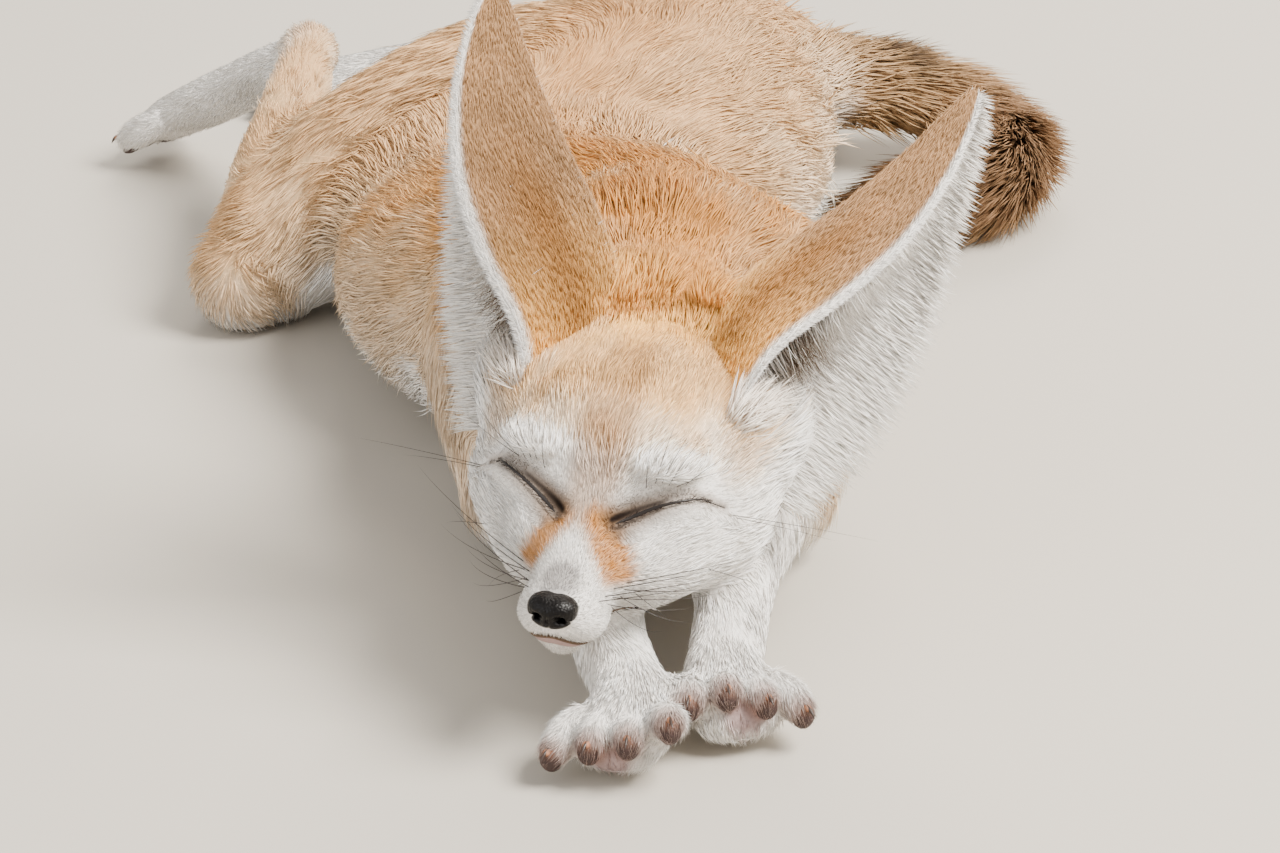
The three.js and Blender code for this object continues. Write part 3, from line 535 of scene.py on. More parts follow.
# %% The skin's points and triangles
def refined(points, faces, wanted):
    """The mesh as triangles, with every edge halved whose two ends are wanted, once for each test."""
    mesh = bpy.data.meshes.new("refining")
    mesh.from_pydata(points.tolist(), [], faces.tolist())
    work = bmesh.new()
    work.from_mesh(mesh)
    for test in wanted:
        work.verts.ensure_lookup_table()
        marks = test(np.array([v.co[:] for v in work.verts]))
        work.verts.index_update()
        edges = [e for e in work.edges if marks[e.verts[0].index] and marks[e.verts[1].index]]
        bmesh.ops.subdivide_edges(work, edges=edges, cuts=1, use_grid_fill=True)
    bmesh.ops.triangulate(work, faces=work.faces[:])
    work.to_mesh(mesh)
    work.free()
    found = np.zeros(len(mesh.vertices) * 3, np.float32)
    mesh.vertices.foreach_get("co", found)
    corners = np.zeros(len(mesh.loops), np.int32)
    mesh.loops.foreach_get("vertex_index", corners)
    bpy.data.meshes.remove(mesh)
    return found.reshape(-1, 3).astype(float), corners.reshape(-1, 3)


def fine_zone(points):
    """The head and the four feet."""
    zone = (np.abs(to_head(points)) < [42, 62, 40]).all(1) & (points[:, 1] < 36)
    for foot in FEET.values():
        gap = np.linalg.norm(points[:, :2] - mid_toes(foot, 1)[:2], axis=1)
        zone |= (gap < 24) & (points[:, 2] < 30)
    return zone


def face_zone(points):
    """The front of the face, from the brows to the chin."""
    head = to_head(points)
    return (head[:, 1] < -14) & (head[:, 2] < 12)


def lid_zone(points):
    """The strips along the lids and the lips, 3 mm to each side."""
    zone = np.zeros(len(points), bool)
    for line in GROOVES:
        near = near_box(points, line, 4)
        if len(near):
            nearest = near_line(points[near], line)[0]
            zone[near] |= np.linalg.norm(points[near] - line["at"][nearest], axis=1) < 3
    return zone


SPACING = 2.5
GRID_ENDS = ((-160, 135), (-85, 400), (-3, 102))
PRESSES, MOST_PRESS = 10, 0.6
xs, ys, zs = (np.arange(low, high, SPACING) for low, high in GRID_ENDS)
net_points, net_faces = surface_net(grid_field(xs, ys, zs), xs, ys, zs)
print("the net has", len(net_points), "points on a grid of", SPACING, "mm")
skin_points, skin_faces = refined(net_points, net_faces, [fine_zone, face_zone, lid_zone])
skin_points, way_out = settle(skin_points, body_field, 3)
by_lines = np.unique(np.concatenate([near_box(skin_points, line, 9) for line in (*GROOVES, *HOLLOWS)]))
for _ in range(PRESSES):
    press = np.clip(skin_field(skin_points[by_lines]), 0, MOST_PRESS)
    skin_points[by_lines] -= way_out[by_lines] * press[:, None]
skin_normals = settle(skin_points, skin_field, 0)[1]
skin_normals[by_lines] = unit(skin_normals[by_lines] + 0.5 * way_out[by_lines])
print("the skin has", len(skin_points), "points and", len(skin_faces), "triangles")


# %% [markdown]
# Small helpers that turn arrays into Blender meshes. Shells, pads and tubes are all the same net: rings
# of points, closed at each end by one point more. So one function gives the triangles of all of them.

# %% Meshes from arrays
def metres(points):
    """Millimetres in the fox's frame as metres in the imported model's."""
    return (np.asarray(points, float) - MIDDLE) * MM


def mesh_piece(name, points, faces):
    """An object from points in millimetres and faces that all have the same number of corners."""
    mesh = bpy.data.meshes.new(name)
    faces = np.asarray(faces, np.int32)
    sides = faces.shape[1]
    mesh.vertices.add(len(points))
    mesh.vertices.foreach_set("co", metres(points).astype(np.float32).ravel())
    mesh.loops.add(faces.size)
    mesh.loops.foreach_set("vertex_index", faces.ravel())
    mesh.polygons.add(len(faces))
    mesh.polygons.foreach_set("loop_start", np.arange(0, faces.size, sides, dtype=np.int32))
    mesh.polygons.foreach_set("use_smooth", np.full(len(faces), True))
    mesh.update(calc_edges=True)
    piece = bpy.data.objects.new(name, mesh)
    bpy.context.collection.objects.link(piece)
    return piece


def paint(piece, colours):
    """A colour for each point of a piece, or one for all, as an attribute that its material reads."""
    layer = piece.data.color_attributes.new("Coat", "FLOAT_COLOR", "POINT")
    rgba = np.ones((len(piece.data.vertices), 4), np.float32)
    rgba[:, :3] = colours
    layer.data.foreach_set("color", rgba.ravel())


def ring_faces(rings, columns):
    """Triangles of a stack of rings, closed round, with one point after them all for each end."""
    i, j = (g.ravel() for g in np.meshgrid(np.arange(rings - 1), np.arange(columns), indexing="ij"))
    a, b = i * columns + j, i * columns + (j + 1) % columns
    faces = np.concatenate([np.stack([a, b, b + columns], 1), np.stack([a, b + columns, a + columns], 1)])
    ring = np.arange(columns)
    last = (rings - 1) * columns
    first_cap = np.stack([np.roll(ring, -1), ring, np.full(columns, rings * columns)], 1)
    last_cap = np.stack([last + ring, last + np.roll(ring, -1), np.full(columns, rings * columns + 1)], 1)
    return np.concatenate([faces, first_cap, last_cap])


def outward(points, faces):
    """The faces turned so that the volume they close, the sum of (a x b) . c, is positive."""
    a, b, c = (points[faces[:, k]] for k in range(3))
    return faces if (np.cross(a, b) * c).sum() > 0 else faces[:, ::-1]


# %% [markdown]
# An ear is a cupped leaf. Three rails run from its root to its tip: the front rim, the middle of the
# back and the outer rim. Across them it is a parabola, so a point is a function of two parameters: t up
# the ear and s across it, from -1 at the outer rim to 1 at the front one.

# %% The surface of an ear
EAR_ROOT = np.array([30.0, 10.0, 15.0])
EAR_RAILS = [
    # front rim        back            outer rim
    [-4, -10, -8, -18, 9, -6, 12, 8, -17],
    [-3.5, -16, 10, -20.5, 9, 14, 15.5, 13, -2],
    [3, -18.5, 28, -17, 8, 32, 17, 13.5, 15],
    [7.5, -17, 46, -10.5, 6.5, 50, 14, 12, 39],
    [7.5, -13, 64, -5.5, 3.5, 67, 9, 7, 61],
    [4.4, -7, 79, -2.6, 1.5, 80, 4.4, 4, 78],
    [0.8, -1, 87.5, -0.8, 0.5, 87.5, 0.8, 1, 87.5],
]
# Which side each ear is on, and how many degrees it leans out and back
EARS = {"left": {"side": 1, "out": 24.5, "back": 31}, "right": {"side": -1, "out": 13.5, "back": 13}}


def turn_from_up(way):
    """The shortest turn from +Z to a way: I + K + K^2 / (1 + cos), with K made from their cross product."""
    x, y, z = way
    cross = np.array([[0, 0, x], [0, 0, y], [-x, -y, 0]])
    return np.eye(3) + cross + cross @ cross / (1 + z)


def ear_at(ear, t, s):
    """A point of the cup: back + (front - outer) s / 2 + (the middle of the rims - back) s^2."""
    t, s = np.broadcast_arrays(np.asarray(t, float), np.asarray(s, float))
    rails = through(EAR_RAILS, t.ravel())
    front, back, outer = rails[:, :3], rails[:, 3:6], rails[:, 6:]
    across = s.ravel()[:, None]
    own = back + (front - outer) * across / 2 + ((front + outer) / 2 - back) * across**2
    lean = unit(np.array([np.tan(np.radians(ear["out"])), np.tan(np.radians(ear["back"])), 1.0]))
    own = own @ turn_from_up(lean).T + EAR_ROOT
    own[:, 0] *= ear["side"]
    return from_head(own).reshape(t.shape + (3,))


def ear_ways(ear, t, s):
    """The ways up the ear, across it towards the front rim, and from the cup out through its back."""
    step = 0.01
    up = unit(ear_at(ear, np.minimum(t + step, 1), s) - ear_at(ear, np.maximum(t - step, 0), s))
    over = unit(ear_at(ear, t, s + step) - ear_at(ear, t, s - step))
    return up, over, unit(np.cross(over, up)) * ear["side"]


for name, ear in EARS.items():
    height = np.linalg.norm(ear_at(ear, 1.0, 0.0) - ear_at(ear, 0.0, 0.0))
    print("the", name, "ear is", height.round(1), "mm high at its back")

# %% [markdown]
# The skin of an ear is that surface twice, about a millimetre apart and closed at the rims. It is
# thinner towards the rims and the tip, as a real ear is.

# %% The shell of an ear
EAR_ROWS, EAR_COLUMNS = 64, 34


def ear_skin(ear, t, s, face):
    """A point of the ear's skin: face 0 is its back, just under the coat, and 1 the inside of the cup."""
    thick = 1.5 * (1 - 0.35 * s * s) * (1 - 0.45 * t)
    depth = 0.5 + np.where(face > 0.5, 0.0, thick)
    return ear_at(ear, t, s) + ear_ways(ear, t, s)[2] * depth[..., None]


def ear_shell(ear):
    """The closed shell: rings that go across the back and return inside the cup, with both ends capped."""
    t = np.linspace(0, 1, EAR_ROWS) ** 0.9
    s = np.cos(np.linspace(np.pi, 0, EAR_COLUMNS))
    across = np.concatenate([s, s[::-1]])
    ring = len(across)
    grid_t, grid_s = np.meshgrid(t, across, indexing="ij")
    grid_face = np.broadcast_to(np.repeat([0.0, 1.0], EAR_COLUMNS), grid_t.shape)
    points = ear_skin(ear, grid_t, grid_s, grid_face).reshape(-1, 3)
    points = np.concatenate([points, [points[:ring].mean(0)], [points[-ring:].mean(0)]])
    faces = outward(points, ring_faces(EAR_ROWS, ring))
    return points, faces, grid_t.ravel(), grid_s.ravel(), grid_face.ravel()


ear_shells = {name: ear_shell(ear) for name, ear in EARS.items()}
for name, shell in ear_shells.items():
    print("the", name, "ear's skin has", len(shell[1]), "triangles")

# %% [markdown]
# Colours are mixed from a few named ones. A fennec is sand above and white below, with a rusty patch in
# front of each eye, a tan streak up the forehead, dark lids and a grey-brown brush. Each marking is a
# soft mask worked out from where a point is on the animal: a slope, an oval spot or a stroke.

# %% The colours
def colour(red, green, blue):
    """A colour as light adds it up, from the 0 to 1 numbers of a colour picker (power 2.2)."""
    return np.array([red, green, blue]) ** 2.2


WHITE = colour(0.95, 0.93, 0.905)
CREAM = colour(0.90, 0.80, 0.68)
TAN = colour(0.81, 0.66, 0.48)
SAND = colour(0.78, 0.545, 0.275)
GOLD = colour(0.93, 0.70, 0.38)
RUST = colour(0.76, 0.50, 0.19)
RUFOUS = colour(0.74, 0.505, 0.27)
SMOKE = colour(0.52, 0.50, 0.49)
GREY_BROWN = colour(0.52, 0.40, 0.29)
DARK = colour(0.13, 0.09, 0.07)
FLESH = colour(0.80, 0.60, 0.54)
WEB = colour(0.58, 0.42, 0.42)
EAR_BACK = colour(0.66, 0.51, 0.36)


def ripple(points, size, seed=0):
    """Soft noise: a sum of six sines in scattered directions, `size` mm from crest to crest.

    It is mostly between -1 and 1, and near 2 at its highest.
    """
    waves = np.random.default_rng(seed).normal(size=(6, 3))
    turns = unit(waves) * (2 * np.pi / size) * np.linspace(0.7, 1.4, 6)[:, None]
    return np.sin(points @ turns.T + np.arange(6) * 1.7).sum(1) / 3.2


def spot(points, at, radii):
    """A soft oval mask: 1 at its middle, one half at its edge, and 0 outside."""
    away = np.linalg.norm((points - np.asarray(at, float)) / np.asarray(radii, float), axis=1)
    return 1 - smooth(away, 0.6, 1.4)


def stroke(points, rows, wide):
    """A soft mask along a line through some points, as wide as is said."""
    line = through(rows, np.linspace(0, 1, 40))
    gap = np.linalg.norm(points[:, None] - line[None], axis=2).min(1)
    return 1 - smooth(gap / wide, 0.4, 1.6)


def mixed(under, over, mask):
    """One colour laid over another where the mask is 1: under + (over - under) mask."""
    return under + (over - under) * mask[:, None]


sample = ripple(skin_points, 14)
print("over the skin a ripple runs from", sample.min().round(2), "to", sample.max().round(2))

# %% [markdown]
# The head starts white and its markings are laid over it one after another, the later on top, with painted
# shade along the creases of the folds between the ears. Most are alike on both sides, but the head is tilted
# and its skin bunched, so the rust patches are drawn one by one.

# %% The head's markings
def head_colours(points, normals):
    """The head's colours: masks in its own frame, most of them on |x|, y and z, laid over white in turn."""
    head, near = to_head(points), one_side(points)
    x, y, z = near.T
    up = (normals @ HEAD_TURN)[:, 2]
    wave = ripple(points, 14, 3)
    shade = mixed(WHITE, CREAM, smooth(z + 0.12 * y + 3 * wave, 4, 13) * smooth(y, -34, -26))
    shade = mixed(shade, (TAN + GOLD) / 2, 0.85 * smooth(z + 3 * wave, 12, 22) * smooth(y, -27, -16))
    shade = mixed(shade, GOLD, smooth(z + 0.35 * y + 2 * wave, 26, 33))
    first, second = (np.array(rows)[:, :3] for rows in FOLDS)
    warm = np.maximum(stroke(head, first, 4.2), stroke(head, second, 3.6))
    # Painted shade: a dark line along the creases under the folds of loose skin between the ears
    dark = np.maximum(stroke(head, first[3:], 1.3), stroke(head, second, 1.5))
    shade = mixed(mixed(shade, RUFOUS, 0.7 * warm), RUFOUS * 0.3, 0.9 * dark)
    shade = mixed(shade, TAN, 0.55 * spot(near, [28, -8, 12], [7, 9, 10]))
    shade = mixed(shade, WHITE, smooth(x, 30, 35) * smooth(-y, -12, -2))
    shade = mixed(shade, WHITE, 0.9 * spot(near, [17, -26, 10.5], [9, 8, 4.5]))
    streak = stroke(near, [[1.2, -36, 3], [1.0, -28, 14], [0.8, -21, 23.5], [1.5, -7, 30]], 5.2)
    shade = mixed(shade, (2 * SAND + 3 * GREY_BROWN) / 5, 0.75 * streak * (0.8 + 0.2 * wave))
    patch = np.maximum(stroke(head, [[4.6, -37.6, 0.4], [7.8, -41, -4.2], [10.8, -42, -10]], 4.2),
                       stroke(head, [[-6.0, -38.5, 0.0], [-9.2, -41.5, -4.6], [-11.8, -42, -10]], 3.5))
    shade = mixed(shade, RUST, np.minimum(1.15 * patch, 0.95) * (0.93 + 0.07 * ripple(points, 3, 8)))
    shade = mixed(shade, WHITE, smooth(-z, 10, 14) * smooth(-y, 30, 36))
    shade = mixed(shade, SMOKE, 0.8 * spot(head, [-0.5, -50.5, -9.0], [4.6, 4.6, 4.6]))
    shade = mixed(shade, WHITE, smooth(-up, 0.2, 0.6) * smooth(-z, -4, 4))
    shade = mixed(shade, SAND, smooth(y, 12, 28) * smooth(z, 2, 14))
    for ear in EARS.values():
        hollow = (ear_at(ear, 0.05, 1.0) + ear_at(ear, 0.05, -1.0)) / 4 + ear_at(ear, 0.05, 0.0) / 2
        inside = spot(points, hollow, [11, 11, 11]) * smooth(x, 24, 28)
        shade = mixed(shade, (2 * WHITE + GREY_BROWN) / 3, inside)
    return shade


nose_bridge = from_head([[0, -45, -8]])
print("the bridge of the nose is", np.round(head_colours(nose_bridge, np.array([UP]))[0], 2))

# %% [markdown]
# The lids meet in a line that is broad and dark at the inner corner, where painted shade of the deep corner
# widens the lids' dark skin, and thins towards the outer one, with painted brown shade round its inner half.
# The hair by it points away from the line, so that none crosses the eye.

# %% The line of the lids
def beside_lids(points, line):
    """For points near a lid's line: the nearest sample, the gap on the skin, and how far up it they are.

    The gap is the root of distance^2 - 0.9 deep^2, so the depth of the groove counts for little.
    """
    nearest, deep, upward, _ = near_line(points, line)
    gap = ((points - line["at"][nearest]) ** 2).sum(1) - 0.9 * deep**2
    return nearest, np.sqrt(np.maximum(gap, 0)), upward


def eye_mask(points):
    """How near a point is to the lids' line: the dark edge, widened at the inner corner with painted shade,
    and painted brown shade round its inner half.
    """
    mask, soft = np.zeros((2, len(points)))
    for line in LID_LINES:
        near = near_box(points, line, 8)
        if len(near):
            nearest, gap, _ = beside_lids(points[near], line)
            q = line["q"][nearest]
            # The dark edge is wider at the inner corner, where it also paints the shade of the deep corner
            reach = np.interp(q, [0, 0.12, 0.3, 0.6, 0.8, 1.0], [1.1, 1.25, 0.95, 0.6, 0.42, 0.25])
            far = np.interp(q, [0, 0.25, 0.6, 1.0], [5.6, 5.2, 3.0, 2.0])
            shade_strength = np.interp(q, [0, 0.25, 0.6, 1.0], [0.95, 0.85, 0.6, 0.5])
            mask[near] = np.maximum(mask[near], 1 - smooth(gap / reach, 0.6, 1.3))
            # Painted shade: brown round the inner half of the line, strongest at the inner corner under the
            # brow
            soft[near] = np.maximum(soft[near], shade_strength * (1 - smooth(gap / far, 0.15, 1.0)))
    return mask, soft


def by_the_lids(points):
    """How near a point is to the line of the lids, from 1 to 0 at 6 mm, and the way the hair lies there.

    It lies away from the line at the inner end, and outwards along the line farther on.
    """
    weight, way = np.zeros(len(points)), np.zeros((len(points), 3))
    for line in LID_LINES:
        near = near_box(points, line, 9)
        if len(near):
            nearest, gap, upward = beside_lids(points[near], line)
            weight[near] = 1 - smooth(gap, 2.4, 6.0)
            onward = smooth(line["q"][nearest], 0.04, 0.3)[:, None]
            away = np.sign(upward)[:, None] * line["upward"][nearest]
            way[near] = line["onward"][nearest] * onward + away * (1.3 - 0.75 * onward)
    return weight, way


print("the lids' dark edge covers", int((eye_mask(skin_points)[0] > 0.5).sum()), "points of the skin")

# %% [markdown]
# On the rest of the body the colour goes by how the skin faces: sand above, cream on the flanks and white
# below, with a warmer streak along the spine. The feet pale towards the toes, and the brush is its own
# blend, darkest at the tip and over the gland near its root.

# %% The body's markings
def body_colours(points, normals, part):
    """The body's colours: mixed by the height of the way out, then by the part and the place on it."""
    up = normals[:, 2] + 0.16 * ripple(points, 26, 5)
    shade = mixed(WHITE, CREAM, smooth(up, -0.5, 0.0))
    shade = mixed(shade, TAN * 1.04, 0.8 * smooth(up, 0.05, 0.7))
    shade = mixed(shade, SAND, smooth(up, 0.5, 0.95) * (0.3 + 0.7 * smooth(-points[:, 1], -190, -110)))
    spine = through(TRUNK, np.clip((points[:, 1] - 20) / 290, 0, 1))[:, 0]
    streak = np.exp(-(((points[:, 0] - spine) / 17) ** 2))
    streak = streak * smooth(points[:, 1], 20, 60) * smooth(up, 0.5, 0.9)
    shade = mixed(shade, RUFOUS, 0.6 * streak * (0.8 + 0.2 * ripple(points, 9, 6)))
    legs = np.isin(part, ["fore_left", "fore_right"])
    shade = mixed(shade, WHITE, legs * smooth(-points[:, 1], -52, -22))
    for name in ("fore_left", "fore_right"):
        shade = mixed(shade, WEB, 0.75 * spot(points, mid_toes(FEET[name], 3) - [0, 0, 4], [5, 7, 4.5]))
    for foot in FEET.values():
        for rows in foot["digits"]:
            tip = spot(points, rows[3][:3], [4.4, 4.4, 4.4])
            shade = mixed(shade, (WEB + GREY_BROWN) / 2, 0.8 * tip)
    for name, leg in (("hind_left", HIND_LEG_LEFT), ("hind_right", HIND_LEG_RIGHT)):
        gap = np.linalg.norm(points - leg["heel"], axis=1)
        toward = (points - leg["heel"]) @ unit(np.array(leg["toes"], float) - leg["heel"])
        shade = mixed(shade, WHITE, (part == name) * smooth(toward, -12, 6) * (gap < 90))
    tail = part == "tail"
    if tail.any():
        q = near_line(points, TAIL_LINE)[0] / (len(TAIL_LINE["at"]) - 1)
        brush = mixed((TAN + GREY_BROWN) / 2, GREY_BROWN * 1.25, smooth(q, 0.15, 0.5))
        brush = mixed(brush, DARK * 2.2, 0.3 * smooth(q, 0.8, 0.98))
        brush = mixed(brush, DARK * 2.0, 0.85 * spot(points, [72, 306, 42], [10, 8, 10]))
        brush = mixed(brush, TAN, 0.5 * smooth(-normals[:, 2], 0.2, 0.8))
        shade = mixed(shade, brush, tail * smooth(q, 0.02, 0.12))
    return shade


middle_back = np.array([[-20.0, 156.0, 71.0]])
back_colour = body_colours(middle_back, np.array([UP]), np.array(["trunk"]))[0]
print("the middle of the back is", back_colour.round(2))

# %% [markdown]
# The coat needs to know, at every point of the skin, which way the hair lies, how long it is and how
# dense. Each mass of the body has its own lie and its own kind of coat, and a point takes a mean of
# them, weighted by how near each mass is, so one coat runs into the next.

# %% The lie and kind of the coat
COAT_REACH = 4.0
SAG = np.array([0, 0.1, -0.45])


def coat_at(points, normals):
    """The part, mass, lie, length, width and density of the coat at points of the skin.

    The mass is the nearest. The rest are means over the masses near by, weighted by exp(-gap / reach),
    and the body's own hair sags a little.
    """
    total = np.zeros(len(points))
    lie = np.zeros((len(points), 3))
    kind = np.zeros((len(points), 3))
    nearest = np.full(len(points), 1e9)
    which = np.zeros(len(points), int)
    for number, mass in enumerate(MASSES):
        near = np.flatnonzero(((points > mass["low"]) & (points < mass["high"])).all(1))
        if not len(near):
            continue
        gap = mass["distance"](points[near]) + mass["depth"]
        weight = np.exp(-np.clip(gap, 0, 60) / COAT_REACH)
        coat = COATS[mass["coat"]]
        lie[near] += mass["onward"](points[near]) * weight[:, None]
        kind[near] += np.array([coat["long"], coat["wide"], coat["many"]]) * weight[:, None]
        total[near] += weight
        closer = gap < nearest[near]
        nearest[near[closer]] = gap[closer]
        which[near[closer]] = number
    kind /= np.maximum(total, 1e-9)[:, None]
    part = np.array([mass["part"] for mass in MASSES])[which]
    falls = ~np.isin(part, ["head", "tail"])
    lie += (falls * total)[:, None] * SAG
    lie -= normals * (lie * normals).sum(1, keepdims=True)
    return {"part": part, "mass": which, "lie": unit(lie),
            "long": kind[:, 0], "wide": kind[:, 1], "many": kind[:, 2]}


skin_coat = coat_at(skin_points, skin_normals)
print("points of the skin, by part:", {part: int((skin_coat["part"] == part).sum()) for part in PARTS})

# %% [markdown]
# A bake needs every point to have a place on a flat picture, its unwrap. Here each part has a tile of
# the picture. Round and along the limb are the two ways across a tile, and round and up for the head.

# %% Places on the unwrap
TILES = {"head": (0.0, 0.5, 0.5, 0.5), "trunk": (0.5, 0.75, 0.5, 0.25), "neck": (0.5, 0.5, 0.25, 0.25),
         "tail": (0.75, 0.5, 0.25, 0.25)}
LEG_MASSES = [mass for mass in MASSES if "line" in mass and mass["part"] not in TILES]
EDGE = 0.03


def unwrapped(points, coat):
    """Places on an unwrap of the skin: the angle round and the way along each limb, inside its tile."""
    places = np.zeros((len(points), 2))
    for number, mass in enumerate(MASSES):
        on = np.flatnonzero(coat["mass"] == number)
        if not len(on):
            continue
        if mass["part"] == "head":
            head = to_head(points[on])
            round_it = np.arctan2(head[:, 0], -head[:, 1]) / (2 * np.pi) + 0.5
            along = np.arctan2(head[:, 2], np.hypot(head[:, 0], head[:, 1])) / np.pi + 0.5
            tile = TILES["head"]
        else:
            nearest, across, upward, _ = near_line(points[on], mass["line"])
            round_it = np.arctan2(upward, across) / (2 * np.pi) + 0.5
            along = nearest / len(mass["line"]["at"])
            if mass["part"] in TILES:
                tile = TILES[mass["part"]]
            else:
                slot = [each is mass for each in LEG_MASSES].index(True)
                tile = (0.125 * (slot % 8), 0.0625 * (slot // 8), 0.125, 0.0625)
        places[on] = np.stack([tile[0] + (EDGE + (1 - 2 * EDGE) * round_it) * tile[2],
                               tile[1] + (EDGE + (1 - 2 * EDGE) * along) * tile[3]], 1)
    return places


print("the unwrap has", len(TILES), "large tiles, and a small one for each of", len(LEG_MASSES), "lines")

# %% [markdown]
# A tuft is a solid lock of a few dozen hairs that cling together: three-sided, widest near its root and
# drawn out to a point, bending back to the body along the lie. It could be many single hairs, but there
# would be millions. Roots are scattered at random by area, so that no rows show.

# %% Scattering roots
def scattered(weights):
    """Which of many small areas each root falls in, when each should have `weights` roots.

    The weights are added up, and one root is put at a random place in each unit of the sum, so the roots
    are evenly spread but never in rows.
    """
    sums = np.cumsum(weights)
    count = int(sums[-1])
    marks = (np.arange(count) + RNG.random(count)) * (sums[-1] / count)
    return np.minimum(np.searchsorted(sums, marks), len(weights) - 1)


def body_roots(points, faces, normals, many):
    """Roots on the skin's triangles: a random place in each, with the way out of the skin there."""
    a, b, c = (points[faces[:, k]] for k in range(3))
    area = np.linalg.norm(np.cross(b - a, c - a), axis=1) / 2
    chosen = scattered(area * many[faces].mean(1))
    u, v = RNG.random((2, len(chosen)))
    u, v = np.where(u + v > 1, [1 - u, 1 - v], [u, v])
    share = np.stack([1 - u - v, u, v], 1)[:, :, None]
    at = (points[faces[chosen]] * share).sum(1)
    out = unit((normals[faces[chosen]] * share).sum(1))
    return at, out


# %% [markdown]
# All the tufts of a coat are worked out at once, as arrays with a row for each tuft. One mesh must not
# grow too large, so they are then shared out over several. No point of a tuft goes through the floor.

# %% Tufts
TRIANGLES = {}
MOST_FACES = 190000
HAIR_OVER_FLOOR = 0.35
PATCH_SIZE = 0.003


def tufts(name, root, out, lie, long, wide, lift, shade, tip_shade, place, bent=True, seed=0):
    """Tufts as one mesh, split in pieces: at u the middle is root + long (u first + u^2 (last - first) / 2).

    `first` leans out of the skin by the lift and `last` by less, so the tuft settles back along the lie.
    A bent tuft has two rings of three points and a tip, and a straight one a ring and a tip.
    """
    droop, stray = 0.3, 0.11
    count = len(root)
    rng = np.random.default_rng(seed)
    side = np.cross(lie, out)
    first = unit(lie * np.cos(lift)[:, None] + out * np.sin(lift)[:, None])
    low = lift - droop
    last = unit(lie * np.cos(low)[:, None] + out * np.sin(low)[:, None])
    last = unit(last + side * rng.normal(0, stray, (count, 1)))
    steps = np.array([0.0, 0.5, 1.0] if bent else [0.0, 1.0])
    fat = np.array([0.72, 0.9] if bent else [0.9])
    sink = np.minimum(0.3, 0.03 * long)[:, None]
    middle = [root - out * sink + long[:, None] * (u * first + u * u * (last - first) / 2) for u in steps]
    rings = []
    for k, share in enumerate(fat):
        way = unit(first + (last - first) * steps[k])
        over = unit(np.cross(side, way))
        over = over * np.sign((over * out).sum(1, keepdims=True))
        half = (wide * share / 2)[:, None]
        rings += [middle[k] + side * half, middle[k] + over * half * 0.8, middle[k] - side * half]
    points = np.stack([*rings, middle[-1]], 1)
    points[..., 2] = np.maximum(points[..., 2], HAIR_OVER_FLOOR)
    corners = points.shape[1]
    if bent:
        pattern = [[0, 2, 1], [1, 3, 0], [1, 4, 3], [2, 4, 1], [2, 5, 4], [0, 5, 2], [0, 3, 5],
                   [4, 6, 3], [5, 6, 4], [3, 6, 5]]
        along = [0, 0, 0, 0.5, 0.5, 0.5, 1]
        patch = [[0, 0], [0.5, 0], [1, 0], [0, 0.5], [0.5, 0.5], [1, 0.5], [0.5, 1]]
    else:
        pattern = [[0, 2, 1], [1, 3, 0], [2, 3, 1], [0, 3, 2]]
        along = [0, 0, 0, 1]
        patch = [[0, 0], [0.5, 0], [1, 0], [0.5, 1]]
    pattern = np.array(pattern)
    along = np.array(along)[None, :, None]
    shades = shade[:, None] * (1 - along) + tip_shade[:, None] * along
    patch = (np.array(patch) - 0.5) * PATCH_SIZE
    most = MOST_FACES // len(pattern)
    pieces = []
    for number, start in enumerate(range(0, count, most)):
        some = slice(start, min(start + most, count))
        n = some.stop - start
        faces = (pattern[None] + corners * np.arange(n)[:, None, None]).reshape(-1, 3)
        piece = mesh_piece(f"{name}_{number + 1}", points[some].reshape(-1, 3), faces)
        paint(piece, shades[some].reshape(-1, 3))
        spots = (place[some][:, None] + patch[None])[:, pattern.ravel()].reshape(-1, 2)
        piece.data.uv_layers.new(name="OFBake").data.foreach_set("uv", spots.astype(np.float32).ravel())
        pieces.append(piece)
    TRIANGLES[name] = count * len(pattern)
    print(name, "has", count, "tufts and", TRIANGLES[name], "triangles in", len(pieces), "pieces")
    return pieces


# %% [markdown]
# The skin comes first as an object, in the same colours as the coat but a little darker: painted shade,
# since what shows of it lies deep between the hairs. The two ears' shells are part of the same piece.

# %% The skin as an object
# Painted shade: the share of its colour that the skin keeps between the hairs
SKIN_PAINTED_SHADE = 0.8


def skin_colours(points, normals, coat):
    """All the markings of the head and body together, and the painted shade by the eyes."""
    head = coat["part"] == "head"
    body = body_colours(points, normals, coat["part"])
    face = head_colours(points, normals)
    shade = mixed(body, face, (1 - smooth(to_head(points)[:, 1], 24, 42)) * head)
    dark, soft = eye_mask(points)
    # The lids' dark edge, over painted brown shade round the inner half of each eye
    return mixed(mixed(shade, GREY_BROWN * 0.7, soft), DARK, dark)


skin_shade = skin_colours(skin_points, skin_normals, skin_coat)
mouth_gap = np.full(len(skin_points), 9.0)
near_mouth = near_box(skin_points, MOUTH_LINE, 3)
mouth_gap[near_mouth] = np.abs(line_distance(skin_points[near_mouth], MOUTH_LINE))
skin_shade = mixed(skin_shade, DARK, 1 - smooth(mouth_gap, 0.4, 1.2))


